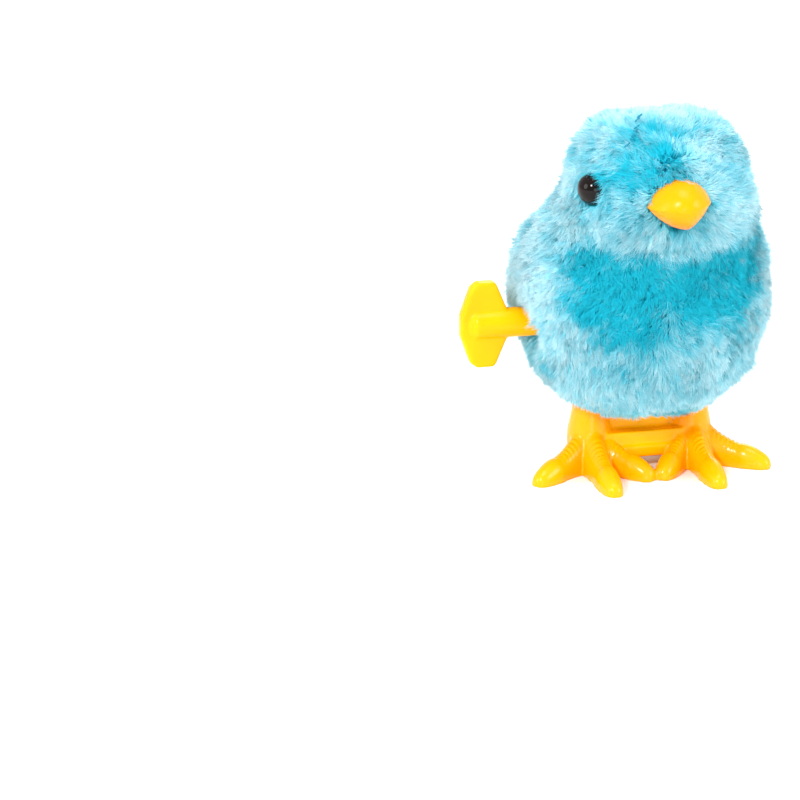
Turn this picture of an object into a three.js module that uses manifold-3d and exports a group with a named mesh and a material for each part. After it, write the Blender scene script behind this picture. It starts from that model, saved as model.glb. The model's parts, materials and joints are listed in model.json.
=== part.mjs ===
// Wind-up hopping chick: a plush sleeve over a clockwork gearbox that rocks a one-piece pair of feet.
// Millimetres, +Z up. The chick looks along -Y, its left side is +X, and the key is on its right, -X.
import * as THREE from 'three';
import { mergeVertices } from 'three/addons/utils/BufferGeometryUtils.js';
import Module from 'manifold-3d';

const wasm = await Module();
wasm.setup();

// ---- Driving dimensions ----

const FRAME_SHIFT = new THREE.Vector3(4.5, 1.3, 0); // puts the origin under the middle of the bounding box
const CLEAR = 0.3; // gap between pieces that rest against each other
const RUN_CLEAR = 0.1; // radial gap of a shaft that turns in its hole

// Plush sleeve: height, half width, front and back of each level of its outline.
const PLUSH_LEVELS = [
  [12.6, 15.8, -13.0, 13.2],
  [14.4, 17.4, -15.2, 16.8],
  [18.2, 20.8, -18.4, 21.4],
  [22.6, 23.6, -20.8, 24.6],
  [27.8, 25.4, -22.2, 26.6],
  [33.4, 26.3, -22.8, 27.4],
  [39.0, 26.4, -22.2, 26.8],
  [44.0, 25.4, -21.2, 25.2],
  [48.6, 23.6, -21.4, 21.6],
  [52.6, 21.6, -23.4, 16.6],
  [57.0, 20.2, -25.2, 12.2],
  [62.0, 19.4, -25.8, 9.6],
  [67.0, 18.2, -24.4, 7.6],
  [71.2, 15.6, -21.0, 4.2],
  [73.8, 10.8, -16.6, -0.8],
  [74.8, 3.4, -11.2, -6.4],
];
const HEAD_LEAN = { low: 0.6, high: 0.7 }; // sideways set of the sleeve, low down and at eye height
const PLUSH_SQUARENESS = 2.25; // 2 is an ellipse, more is squarer
const PLUSH_RINGS = 18;
const PLUSH_SIDES = 32;
const INNER_SCALE = new THREE.Vector3(0.832, 0.822, 0.913); // sleeve's inside against its outside
const INNER_CENTRE = new THREE.Vector3(0, -3, 25);
const INNER_FLOOR = 18.1; // top of the turned-in hem
const OPENING = { halfX: 15.0, halfY: 11.8, y: -0.4 };

// Gear train, seen from the side as (y, z) centres.
const GEAR_MODULE = 0.5;
const PRESSURE_ANGLE = THREE.MathUtils.degToRad(25);
const TOOTH_PLAY = 0.12;
const PINION_TEETH = 10;
const DRIVE_TEETH = 32;
const STEP_TEETH = 24;
const ARBOR = new THREE.Vector2(2.6, 29.8);
const FIRST = polar(ARBOR, meshDistance(DRIVE_TEETH), 60);
const SECOND = polar(FIRST, meshDistance(STEP_TEETH), 180);
const CRANK = polar(SECOND, meshDistance(STEP_TEETH), 240);
const PIVOT = new THREE.Vector2(CRANK.x, 20.4);
const CRANK_THROW = 1.9;
const ARBOR_RADIUS = 1.5;
const AXLE_RADIUS = 0.6;
const PIVOT_RADIUS = 0.95;

// Gearbox case.
const CASE = { halfX: 13.3, front: -11.6, back: 15.9, bottom: 18.4, top: 47.4, wall: 1.3 };
const CASE_CHAMFERS = { frontTop: 4, backTop: 5, frontFoot: 3.5, backFoot: 6.5 };
const FLANGE = { halfX: 16.2, front: -13.8, back: 16.2, thickness: 1.4 };
const SCREW_SPOTS = [[-8.2, 43.6], [10.6, 22.0], [13.5, 30.6]];
const SCREW_RADIUS = 0.7;
const BOSS_RADIUS = 1.5;

// Mainspring and the pillar that holds its outer end.
const SPRING = { inner: 2.3, outer: 7.7, turns: 5.4, strip: 0.35, start: -11.4, width: 5.2 };
const PILLAR = polar(ARBOR, 9.2, 232);
const PILLAR_RADIUS = 1;

// Winding key, along -X from the case.
const KEY = { stem: 3, from: -14.1, shoulder: -27.3, bowThick: 2.8, bore: 1.75 };

// Feet: shins as [height, half width, half depth], toes in plan, and each toe's
// [share of its length, half width, height].
const ANKLE = new THREE.Vector2(10.5, -2);
const SHIN_LEVELS = [[0, 4.0, 4.6], [3, 4.3, 5.0], [7, 4.4, 4.9], [11, 3.7, 4.3], [14, 3.0, 3.6],
  [15.6, 1.6, 2.0]];
const TOES = {
  outer: { root: [12.0, -3.6], tip: [24.4, -12.6] },
  middle: { root: [10.6, -5.0], tip: [10.8, -22.4] },
  inner: { root: [9.2, -3.8], tip: [0.7, -14.6] },
  rear: { root: [10.4, 0.0], tip: [8.6, 13.2] },
};
const TOE_STATIONS = [[0, 3.0, 10.4], [0.12, 2.9, 8.1], [0.24, 2.7, 6.4], [0.45, 2.35, 4.7],
  [0.62, 2.5, 4.5], [0.72, 2.42, 4.25], [0.82, 2.2, 3.7], [0.93, 1.8, 2.7], [1, 1.0, 1.5]];
const BRIDGE = { halfX: 8, front: -6.4, wallFront: -3.4, back: 1.6, bottom: 2.6, step: 5.0,
  top: 7.8, wallTop: 11.4, lip: 0.6 };
const ARM = { halfX: 1.7, halfY: 2.5, thinTo: 0.3, top: 35.8 };

// Face. The left eye sits a little further back and deeper in the pile than the right one.
const EYE = { z: 61.0, radius: 3.2 };
const EYE_SPOTS = { right: [-15.2, -15.3], left: [14.4, -10.0] };
const EYE_CENTRE = new THREE.Vector3(0, -6.5, 59.0);
const BEAK = { y: -22.6, z: 58.9, halfWidth: 6.2, halfHeight: 4.7 };

// Colours and finishes.
const COLOURS = {
  plush: ['#5cc3dc', 0.95, 0],
  stuffing: ['#f2f2ee', 1, 0],
  eye: ['#0c0706', 0.08, 0],
  washer: ['#e8e6df', 0.5, 0],
  beak: ['#fdda05', 0.3, 0],
  key: ['#fdda00', 0.32, 0],
  feet: ['#ffb703', 0.25, 0],
  gear: ['#f1f0ea', 0.45, 0],
  steel: ['#a9adb2', 0.35, 1],
  spring: ['#6f747c', 0.35, 1],
};

// ---- Geometry helpers ----

function polar(centre, distance, degrees) {
  const angle = THREE.MathUtils.degToRad(degrees);
  return new THREE.Vector2(centre.x + distance * Math.cos(angle), centre.y + distance * Math.sin(angle));
}

function meshDistance(wheelTeeth) {
  return (GEAR_MODULE * (wheelTeeth + PINION_TEETH)) / 2;
}

/** A closed three.js geometry as a manifold solid. */
function solid(geometry) {
  const bare = geometry.clone();
  bare.deleteAttribute('normal');
  bare.deleteAttribute('uv');
  const merged = mergeVertices(bare, 1e-4);
  return new wasm.Manifold(new wasm.Mesh({
    numProp: 3,
    vertProperties: Float32Array.from(merged.attributes.position.array),
    triVerts: Uint32Array.from(merged.index.array),
  }));
}

/** The three.js geometry of a manifold solid. */
function geometryOf(shape) {
  const mesh = shape.getMesh();
  const geometry = new THREE.BufferGeometry();
  geometry.setAttribute('position', new THREE.BufferAttribute(Float32Array.from(mesh.vertProperties), 3));
  geometry.setIndex(new THREE.BufferAttribute(Uint32Array.from(mesh.triVerts), 1));
  geometry.computeVertexNormals();
  return geometry;
}

function vector([x, y]) {
  return new THREE.Vector2(x, y);
}

function join(...shapes) {
  return shapes.reduce((whole, shape) => whole.add(shape));
}

function cut(shape, ...tools) {
  return tools.reduce((rest, tool) => rest.subtract(tool), shape);
}

function box(x0, x1, y0, y1, z0, z1) {
  const geometry = new THREE.BoxGeometry(x1 - x0, y1 - y0, z1 - z0);
  geometry.translate((x0 + x1) / 2, (y0 + y1) / 2, (z0 + z1) / 2);
  return solid(geometry);
}

/** Turns a geometry built around +Z so that its Z lies along X and its XY plane becomes YZ. */
function alongX(geometry, x0, centre) {
  const turn = new THREE.Matrix4().makeBasis(
    new THREE.Vector3(0, 1, 0),
    new THREE.Vector3(0, 0, 1),
    new THREE.Vector3(1, 0, 0),
  );
  geometry.applyMatrix4(turn);
  geometry.translate(x0, centre.x, centre.y);
  return geometry;
}

/** A round bar along X, centred on (y, z). */
function bar(radius, x0, x1, centre, sides = 20) {
  const geometry = new THREE.CylinderGeometry(radius, radius, x1 - x0, sides);
  geometry.rotateX(Math.PI / 2);
  geometry.translate(0, 0, (x1 - x0) / 2);
  return solid(alongX(geometry, x0, centre));
}

/** A turned piece along X from [x, radius] steps. */
function turned(steps, centre, sides = 20) {
  const points = [new THREE.Vector2(0, steps[0][0])];
  for (const [x, radius] of steps) {
    points.push(new THREE.Vector2(radius, x));
  }
  points.push(new THREE.Vector2(0, steps[steps.length - 1][0]));
  const geometry = new THREE.LatheGeometry(points, sides);
  geometry.rotateX(Math.PI / 2);
  return solid(alongX(geometry, 0, centre));
}

/** A flat outline in the YZ plane, pulled along X. */
function plateX(shape, x0, x1) {
  const options = { depth: x1 - x0, bevelEnabled: false };
  const geometry = new THREE.ExtrudeGeometry(shape, options);
  return solid(alongX(geometry, x0, new THREE.Vector2(0, 0)));
}

/** A closed body through rings of points, each ring listed anticlockwise as seen from the far end. */
function loft(rings) {
  const sides = rings[0].length;
  const points = rings.flat();
  const middle = (ring) => ring.reduce((sum, p) => sum.add(p), new THREE.Vector3()).divideScalar(sides);
  const first = points.push(middle(rings[0])) - 1;
  const last = points.push(middle(rings[rings.length - 1])) - 1;
  const index = [];
  for (let r = 0; r + 1 < rings.length; r += 1) {
    for (let s = 0; s < sides; s += 1) {
      const a = r * sides + s;
      const b = r * sides + ((s + 1) % sides);
      index.push(a, b, b + sides, a, b + sides, a + sides);
    }
  }
  const top = (rings.length - 1) * sides;
  for (let s = 0; s < sides; s += 1) {
    const next = (s + 1) % sides;
    index.push(first, next, s, last, top + s, top + next);
  }
  const geometry = new THREE.BufferGeometry().setFromPoints(points);
  geometry.setIndex(index);
  return solid(geometry);
}

/** A point of a rounded-square outline; squareness 2 gives an ellipse. */
function roundedPoint(angle, halfX, halfY, squareness) {
  const power = 2 / squareness;
  const c = Math.cos(angle);
  const s = Math.sin(angle);
  return [halfX * Math.sign(c) * Math.abs(c) ** power, halfY * Math.sign(s) * Math.abs(s) ** power];
}

/** An upright cylinder with an elliptical outline. */
function ovalPost(halfX, halfY, y, z0, z1, sides = 40) {
  const geometry = new THREE.CylinderGeometry(1, 1, z1 - z0, sides);
  geometry.rotateX(Math.PI / 2);
  geometry.scale(halfX, halfY, 1);
  geometry.translate(0, y, (z0 + z1) / 2);
  return solid(geometry);
}

// ---- Gears ----

/** Outline of an involute gear with one tooth centred on the given angle. */
function gearShape(teeth, addendum, phase) {
  const pitch = (GEAR_MODULE * teeth) / 2;
  const base = pitch * Math.cos(PRESSURE_ANGLE);
  const tip = pitch + addendum;
  const root = pitch - 1.2 * GEAR_MODULE;
  const involute = (angle) => Math.tan(angle) - angle;
  const halfAtPitch = Math.PI / (2 * teeth) - TOOTH_PLAY / (2 * pitch);
  const halfAt = (radius) => (
    halfAtPitch + involute(PRESSURE_ANGLE) - involute(Math.acos(Math.min(1, base / radius))));
  const start = Math.max(base, root);
  const middle = teeth > PINION_TEETH ? [] : [(start + tip) / 2];
  const flank = [start, ...middle, tip].map((radius) => [radius, halfAt(radius)]);
  const profile = [[root, halfAt(start) + 0.02], ...flank];
  const points = [];
  for (let tooth = 0; tooth < teeth; tooth += 1) {
    const centre = phase + (2 * Math.PI * tooth) / teeth;
    for (const [radius, half] of profile) {
      points.push(new THREE.Vector2(radius * Math.cos(centre - half), radius * Math.sin(centre - half)));
    }
    for (const [radius, half] of [...profile].reverse()) {
      points.push(new THREE.Vector2(radius * Math.cos(centre + half), radius * Math.sin(centre + half)));
    }
  }
  return new THREE.Shape(points);
}

function gear(teeth, addendum, phase, x0, x1, centre) {
  const options = { depth: x1 - x0, bevelEnabled: false };
  const geometry = new THREE.ExtrudeGeometry(gearShape(teeth, addendum, phase), options);
  return solid(alongX(geometry, x0, centre));
}

/** A pinion a little wider than the plane of the wheel that it meshes with. */
function pinion(phase, plane, centre) {
  return gear(PINION_TEETH, PINION_RISE, phase, plane[0] - 0.3, plane[1] + 0.3, centre);
}

/** The tooth angle of a gear at `to` that puts it in mesh with the gear at `from`. */
function meshPhase(from, fromTeeth, fromPhase, to, toTeeth) {
  const line = Math.atan2(to.y - from.y, to.x - from.x);
  return line + Math.PI + Math.PI / toTeeth - ((fromPhase - line) * fromTeeth) / toTeeth;
}

const PINION_RISE = 0.45;
const WHEEL_RISE = 0.4;
const DRIVE_PLANE = [-5.2, -3.6];
const STEP_PLANE = [4.3, 5.7];
const CRANK_PLANE = [6.4, 7.8];
const firstPhase = meshPhase(ARBOR, DRIVE_TEETH, 0, FIRST, PINION_TEETH);
const secondPhase = meshPhase(FIRST, STEP_TEETH, 0, SECOND, PINION_TEETH);
const crankPhase = meshPhase(SECOND, STEP_TEETH, 0, CRANK, PINION_TEETH);

function driveGear() {
  const wheel = gear(DRIVE_TEETH, WHEEL_RISE, 0, ...DRIVE_PLANE, ARBOR);
  const hub = bar(3.2, DRIVE_PLANE[1] - 0.2, -1.9, ARBOR);
  return cut(join(wheel, hub), bar(ARBOR_RADIUS + RUN_CLEAR, -7, 0, ARBOR));
}

function firstGear() {
  const sleeve = bar(1.7, DRIVE_PLANE[1], STEP_PLANE[0] + 0.2, FIRST, 16);
  const wheel = gear(STEP_TEETH, WHEEL_RISE, 0, ...STEP_PLANE, FIRST);
  const bore = bar(AXLE_RADIUS + RUN_CLEAR, -9, 9, FIRST, 12);
  return cut(join(pinion(firstPhase, DRIVE_PLANE, FIRST), sleeve, wheel), bore);
}

function secondGear() {
  const wheel = gear(STEP_TEETH, WHEEL_RISE, 0, ...CRANK_PLANE, SECOND);
  const sleeve = bar(1.7, STEP_PLANE[1], CRANK_PLANE[0] + 0.2, SECOND, 16);
  const bore = bar(AXLE_RADIUS + RUN_CLEAR, -9, 9, SECOND, 12);
  return cut(join(pinion(secondPhase, STEP_PLANE, SECOND), sleeve, wheel), bore);
}

function crankGear() {
  const sleeve = bar(1.6, 3.4, CRANK_PLANE[0], CRANK, 16);
  const disc = bar(3.2, 2.2, 3.6, CRANK, 24);
  const pinCentre = polar(CRANK, CRANK_THROW, 90);
  const pin = bar(0.6, ARM.thinTo + 0.35, 2.4, pinCentre, 12);
  const bore = bar(AXLE_RADIUS + RUN_CLEAR, 2.9, 9, CRANK, 12);
  return cut(join(pinion(crankPhase, CRANK_PLANE, CRANK), sleeve, disc, pin), bore);
}

// ---- Gearbox ----

/** Side outline of the case, shrunk inwards by the given wall. */
function caseShape(inset) {
  const front = CASE.front + inset;
  const back = CASE.back - inset;
  const bottom = CASE.bottom + inset;
  const top = CASE.top - inset;
  const slope = inset * (2 - Math.SQRT2);
  const { frontTop, backTop, frontFoot, backFoot } = CASE_CHAMFERS;
  const corners = [
    [front + frontFoot - slope, bottom], [back - backFoot + slope, bottom],
    [back, bottom + backFoot - slope], [back, top - backTop + slope],
    [back - backTop + slope, top], [front + frontTop - slope, top],
    [front, top - frontTop + slope], [front, bottom + frontFoot - slope],
  ];
  return new THREE.Shape(corners.map(([y, z]) => new THREE.Vector2(y, z)));
}

/** Half a case, from the joint at x = 0 out to its side wall; side is -1 for right and 1 for left. */
function caseHalf(side) {
  const outer = side * CASE.halfX;
  const joint = side * 0.15;
  const inner = side * (CASE.halfX - CASE.wall);
  const span = (a, b) => [Math.min(a, b), Math.max(a, b)];
  const body = plateX(caseShape(0), ...span(joint, outer));
  const room = plateX(caseShape(CASE.wall), ...span(joint - side, inner));
  const flangeY = (FLANGE.front + FLANGE.back) / 2;
  const flangeHalfY = (FLANGE.back - FLANGE.front) / 2;
  const flangeTop = CASE.bottom + FLANGE.thickness;
  const halfSpace = box(...span(joint, side * 30), -40, 40, 0, 80);
  const oval = ovalPost(FLANGE.halfX, flangeHalfY, flangeY, CASE.bottom, flangeTop);
  const flange = oval.intersect(halfSpace);
  const shell = cut(join(body, flange), room);
  const bossSpan = span(joint, inner + side * 0.4);
  const bosses = SCREW_SPOTS.map((spot) => bar(BOSS_RADIUS, ...bossSpan, vector(spot), 12));
  const slotX = ARM.halfX + 0.5;
  const slotY = ARM.halfY + 1.1;
  const armSlot = box(-slotX, slotX, PIVOT.x - slotY, PIVOT.x + slotY, CASE.bottom - 1, CASE.bottom + 2);
  const pivotHole = bar(PIVOT_RADIUS + RUN_CLEAR, -15, 15, PIVOT, 16);
  return cut(join(shell, ...bosses), armSlot, pivotHole);
}

function gearboxRight() {
  const inner = -(CASE.halfX - CASE.wall);
  const pillar = bar(PILLAR_RADIUS, inner - 0.4, SPRING.start + SPRING.width + 0.2, PILLAR, 12);
  const firstBoss = bar(1.6, inner - 0.4, DRIVE_PLANE[0] - 0.7, FIRST, 12);
  const half = join(caseHalf(-1), pillar, firstBoss);
  const arborHole = bar(ARBOR_RADIUS + RUN_CLEAR, -15, inner + 1, ARBOR);
  const firstHole = bar(AXLE_RADIUS + RUN_CLEAR, -12.6, 0, FIRST, 12);
  const pilots = SCREW_SPOTS.map((spot) => bar(SCREW_RADIUS + 0.05, -6.2, 0, vector(spot), 12));
  return cut(half, arborHole, firstHole, ...pilots);
}

function gearboxLeft() {
  const inner = CASE.halfX - CASE.wall;
  const crankBoss = bar(1.6, CRANK_PLANE[1] + 0.7, inner + 0.4, CRANK, 12);
  const secondBoss = bar(1.6, CRANK_PLANE[1] + 0.7, inner + 0.4, SECOND, 12);
  const firstBoss = bar(1.6, STEP_PLANE[1] + 0.4, inner + 0.4, FIRST, 12);
  const half = join(caseHalf(1), crankBoss, secondBoss, firstBoss);
  const arborHole = bar(ARBOR_RADIUS + RUN_CLEAR, inner - 1, 15, ARBOR);
  const axleHole = (centre) => bar(AXLE_RADIUS + RUN_CLEAR, 0, 12.6, centre, 12);
  const axleHoles = [FIRST, SECOND, CRANK].map(axleHole);
  const screwHoles = SCREW_SPOTS.map((spot) => bar(SCREW_RADIUS + RUN_CLEAR, 0, 15, vector(spot), 12));
  const heads = SCREW_SPOTS.map((spot) => bar(1.5, CASE.halfX - 0.3, 15, vector(spot), 12));
  return cut(half, arborHole, ...axleHoles, ...screwHoles, ...heads);
}

function gearboxScrew(spot) {
  const centre = vector(spot);
  const slot = box(CASE.halfX + 0.45, 15, centre.x - 1.4, centre.x + 1.4, centre.y - 0.18, centre.y + 0.18);
  const body = turned([[-5.8, 0.25], [-5.3, SCREW_RADIUS], [CASE.halfX - 0.1, SCREW_RADIUS],
    [CASE.halfX - 0.1, 1.3], [CASE.halfX + 0.6, 1.3], [CASE.halfX + 0.8, 1.0]], centre, 12);
  return cut(body, slot);
}

function windingArbor() {
  const slit = box(-24, -20, ARBOR.x - 2, ARBOR.x + 2, ARBOR.y + 1.15, ARBOR.y + 2);
  return cut(turned([[-21.6, 1.3], [-21.2, ARBOR_RADIUS], [12.9, ARBOR_RADIUS], [13.2, 1.2]], ARBOR), slit);
}

/** Spiral strip wound from the arbor outwards and bent round the pillar. */
function mainspring() {
  const path = [];
  const steps = Math.round(SPRING.turns * 16);
  const endAngle = THREE.MathUtils.degToRad(232) - 0.1;
  for (let i = 0; i <= steps; i += 1) {
    const t = i / steps;
    const angle = endAngle - 2 * Math.PI * SPRING.turns * (1 - t);
    const radius = THREE.MathUtils.lerp(SPRING.inner, SPRING.outer, t);
    path.push(new THREE.Vector2(ARBOR.x + radius * Math.cos(angle), ARBOR.y + radius * Math.sin(angle)));
  }
  const toArbor = Math.atan2(ARBOR.y - PILLAR.y, ARBOR.x - PILLAR.x);
  for (let i = 1; i <= 7; i += 1) {
    const angle = toArbor - 0.12 - (i * Math.PI) / 8;
    const hook = PILLAR_RADIUS + 0.5;
    path.push(new THREE.Vector2(PILLAR.x + hook * Math.cos(angle), PILLAR.y + hook * Math.sin(angle)));
  }
  const side = (sign) => path.map((point, i) => {
    const before = path[Math.max(0, i - 1)];
    const after = path[Math.min(path.length - 1, i + 1)];
    const along = new THREE.Vector2().subVectors(after, before).normalize();
    const out = (sign * SPRING.strip) / 2;
    return new THREE.Vector2(point.x - along.y * out, point.y + along.x * out);
  });
  const shape = new THREE.Shape([...side(-1), ...side(1).reverse()]);
  return plateX(shape, SPRING.start, SPRING.start + SPRING.width);
}

// ---- Key ----

/** Flat bow-tie bow in the XZ plane with slanted inner edges. */
function keyBow() {
  const { shoulder } = KEY;
  const wing = [[1.0, 2.0], [-1.6, 8.2], [-2.2, 8.8], [-5.6, 8.8], [-6.9, 7.8], [-7.6, 6.0], [-9.0, 2.0]];
  const outline = [...wing, ...wing.map(([x, z]) => [x, -z]).reverse()];
  const shape = new THREE.Shape(outline.map(([x, z]) => new THREE.Vector2(shoulder + x, z)));
  const geometry = new THREE.ExtrudeGeometry(shape, { depth: KEY.bowThick - 0.8, bevelEnabled: true,
    bevelThickness: 0.4, bevelSize: 0.4, bevelOffset: -0.4, bevelSegments: 1 });
  geometry.rotateX(Math.PI / 2);
  geometry.translate(0, ARBOR.x + KEY.bowThick / 2 - 0.4, ARBOR.y);
  return solid(geometry);
}

function windingKey() {
  const stem = turned([[KEY.shoulder - 7.2, 1.6], [KEY.shoulder - 6.7, 2.6], [KEY.shoulder - 5.8, KEY.stem],
    [KEY.from - 0.3, KEY.stem], [KEY.from, KEY.stem - 0.3]], ARBOR, 24);
  const socket = bar(KEY.bore, -22.2, KEY.from + 1, ARBOR);
  return cut(join(stem, keyBow()), socket);
}

// ---- Feet ----

/** One toe: a half-round finger with a flat sole, a knuckle and a blunt claw. */
function toe({ root, tip }, side) {
  const start = new THREE.Vector2(side * root[0], root[1]);
  const end = new THREE.Vector2(side * tip[0], tip[1]);
  const along = new THREE.Vector2().subVectors(end, start);
  const across = new THREE.Vector2(-along.y, along.x).normalize();
  const arch = 8;
  const rings = TOE_STATIONS.map(([t, half, height]) => {
    const middle = start.clone().addScaledVector(along, t);
    const ring = [];
    for (let i = 0; i < arch; i += 1) {
      const angle = (Math.PI * i) / (arch - 1);
      const out = half * Math.cos(angle);
      const z = height * Math.sin(angle) ** 0.8;
      ring.push(new THREE.Vector3(middle.x + across.x * out, middle.y + across.y * out, z));
    }
    return ring;
  });
  return loft(rings);
}

function shin(side) {
  const rings = SHIN_LEVELS.map(([z, halfX, halfY]) => {
    const ring = [];
    for (let i = 0; i < 20; i += 1) {
      const [x, y] = roundedPoint((2 * Math.PI * i) / 20, halfX, halfY, 2);
      ring.push(new THREE.Vector3(side * ANKLE.x + x, ANKLE.y + y, z));
    }
    return ring;
  });
  return loft(rings);
}

function bridge() {
  const { halfX, front, wallFront, back, bottom, step, top, wallTop, lip } = BRIDGE;
  return join(
    box(-halfX, halfX, front, back, bottom, top),
    box(-halfX, halfX, wallFront, back, top - 0.5, wallTop),
    box(-halfX, halfX, front - lip, back, bottom, step),
  );
}

function rockerArm() {
  const { halfX, halfY, thinTo, top } = ARM;
  const y0 = PIVOT.x - halfY;
  const y1 = PIVOT.x + halfY;
  const post = box(-halfX, halfX, y0, y1, BRIDGE.step, PIVOT.y + 4);
  const blade = box(-halfX, thinTo, y0, y1, PIVOT.y + 3, top - halfY);
  const crown = bar(halfY, -halfX, thinTo, new THREE.Vector2(PIVOT.x, top - halfY), 20);
  const half = AXLE_RADIUS + 0.3;
  const low = CRANK.y - CRANK_THROW - 0.8;
  const high = CRANK.y + CRANK_THROW + 0.8;
  const slot = join(
    box(-3, 2, PIVOT.x - half, PIVOT.x + half, low, high),
    bar(half, -3, 2, new THREE.Vector2(PIVOT.x, low), 12),
    bar(half, -3, 2, new THREE.Vector2(PIVOT.x, high), 12),
  );
  return cut(join(post, blade, crown), slot, bar(PIVOT_RADIUS + RUN_CLEAR, -5, 5, PIVOT, 16));
}

function feet() {
  const parts = [bridge(), rockerArm()];
  for (const side of [-1, 1]) {
    parts.push(shin(side));
    for (const plan of Object.values(TOES)) {
      parts.push(toe(plan, side));
    }
  }
  return join(...parts);
}

// ---- Plush sleeve, stuffing and face ----

/** How far the sleeve leans towards its left at a height. */
function lean(z) {
  const rise = THREE.MathUtils.clamp((z - ARBOR.y) / (EYE.z - ARBOR.y), 0, 1);
  return THREE.MathUtils.lerp(HEAD_LEAN.low, HEAD_LEAN.high, rise);
}

/** Rings of the sleeve's outline, smoothly interpolated between its levels. */
function plushRings() {
  const widths = new THREE.CatmullRomCurve3(
    PLUSH_LEVELS.map(([z, half]) => new THREE.Vector3(half, 0, z)), false, 'catmullrom');
  const depths = new THREE.CatmullRomCurve3(
    PLUSH_LEVELS.map(([z, , front, back]) => new THREE.Vector3(front, back, z)), false, 'catmullrom');
  const rings = [];
  for (let r = 0; r <= PLUSH_RINGS; r += 1) {
    const t = r / PLUSH_RINGS;
    const width = widths.getPoint(t);
    const depth = depths.getPoint(t);
    const ring = [];
    for (let s = 0; s < PLUSH_SIDES; s += 1) {
      const angle = (2 * Math.PI * s) / PLUSH_SIDES;
      const [x, y] = roundedPoint(angle, width.x, (depth.y - depth.x) / 2, PLUSH_SQUARENESS);
      ring.push(new THREE.Vector3(x + lean(width.z), (depth.x + depth.y) / 2 + y, width.z));
    }
    rings.push(ring);
  }
  return rings;
}

/** The sleeve's inside, smaller by the pile and backing, and by a further gap. */
function innerRings(gap) {
  const shrink = INNER_SCALE.clone().subScalar(gap / 26);
  return plushRings().map((ring) => ring.map((point) => (
    point.clone().sub(INNER_CENTRE).multiply(shrink).add(INNER_CENTRE))));
}

/** A frame whose +Z points out of the face at an eye. */
function eyeFrame([x, y]) {
  const centre = new THREE.Vector3(x, y, EYE.z);
  const normal = centre.clone().sub(EYE_CENTRE).normalize();
  centre.x += HEAD_LEAN.high;
  const turn = new THREE.Quaternion().setFromUnitVectors(new THREE.Vector3(0, 0, 1), normal);
  return new THREE.Matrix4().compose(centre, turn, new THREE.Vector3(1, 1, 1));
}

/** A turned piece from [height, radius] steps, placed by a frame. */
function turnedOn(frame, steps, sides) {
  const points = [new THREE.Vector2(0, steps[0][0])];
  for (const [height, radius] of steps) {
    points.push(new THREE.Vector2(radius, height));
  }
  points.push(new THREE.Vector2(0, steps[steps.length - 1][0]));
  const geometry = new THREE.LatheGeometry(points, sides);
  geometry.rotateX(Math.PI / 2);
  geometry.applyMatrix4(frame);
  return solid(geometry);
}

function eye(spot) {
  const r = EYE.radius;
  const dome = [[0, r], [0.9, r * 0.985], [1.7, r * 0.87], [2.3, r * 0.66], [2.75, r * 0.36], [2.9, 0.2]];
  return turnedOn(eyeFrame(spot), [[-5.6, 0.7], [-5.2, 0.9], [-0.6, 0.9], [-0.6, r * 0.86], ...dome], 16);
}

function eyeWasher(spot) {
  const disc = turnedOn(eyeFrame(spot), [[-4.9, 3.6], [-4.1, 3.6]], 20);
  return cut(disc, turnedOn(eyeFrame(spot), [[-6, 1], [0, 1]], 12));
}

/** A frame whose +Z points forwards at the beak. */
function beakFrame() {
  const turn = new THREE.Matrix4().makeRotationX(Math.PI / 2);
  return turn.setPosition(HEAD_LEAN.high, BEAK.y, BEAK.z);
}

/** Diamond-fronted beak: each level gives distance forwards, scale across, scale up and down. */
function beak() {
  const levels = [[0, 0.86, 0.84], [0.8, 1, 1], [2.6, 0.96, 0.92],
    [4.6, 0.68, 0.62], [6.4, 0.32, 0.3], [7.4, 0.1, 0.1]];
  const rings = levels.map(([out, wide, tall]) => {
    const ring = [];
    for (let i = 0; i < 24; i += 1) {
      const angle = (2 * Math.PI * i) / 24;
      const [x, z] = roundedPoint(angle, BEAK.halfWidth * wide, BEAK.halfHeight * tall, 1.45);
      ring.push(new THREE.Vector3(HEAD_LEAN.high + x, BEAK.y - out, BEAK.z + z));
    }
    return ring;
  });
  const shank = turnedOn(beakFrame(), [[-5.2, 1.1], [-4.8, 1.4], [0.5, 1.4]], 16);
  return join(loft(rings), shank);
}

function beakWasher() {
  const disc = turnedOn(beakFrame(), [[-4.6, 4], [-3.8, 4]], 20);
  return cut(disc, turnedOn(beakFrame(), [[-6, 1.5], [0, 1.5]], 12));
}

function facePockets(shell) {
  const tools = [turnedOn(beakFrame(), [[-6, 1.7], [3, 1.7]], 16)];
  const recess = loft([-0.3, 1.6, 6].map((out, i) => {
    const grow = [0.4, 0.5, 2.2][i];
    const ring = [];
    for (let k = 0; k < 24; k += 1) {
      const angle = (2 * Math.PI * k) / 24;
      const [x, z] = roundedPoint(angle, BEAK.halfWidth + grow, BEAK.halfHeight + grow, 1.6);
      ring.push(new THREE.Vector3(HEAD_LEAN.high + x, BEAK.y - out, BEAK.z + z));
    }
    return ring;
  }));
  tools.push(recess);
  for (const spot of Object.values(EYE_SPOTS)) {
    const r = EYE.radius;
    const steps = [[-7, 1.2], [-0.9, 1.2], [-0.9, r + 0.35], [1.4, r + 0.35], [7, r + 3]];
    tools.push(turnedOn(eyeFrame(spot), steps, 20));
  }
  return cut(shell, ...tools);
}

function plushCover() {
  const hem = box(-40, 40, -40, 40, 0, INNER_FLOOR);
  const sleeve = cut(loft(plushRings()), cut(loft(innerRings(0)), hem));
  const opening = ovalPost(OPENING.halfX, OPENING.halfY, OPENING.y, 5, 24);
  const holeRadius = KEY.stem + 0.5;
  const keyHole = turned([[-35, 16], [-26.6, 7.6], [-22.4, holeRadius], [-14, holeRadius]], ARBOR, 24);
  return facePockets(cut(sleeve, opening, keyHole));
}

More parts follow.
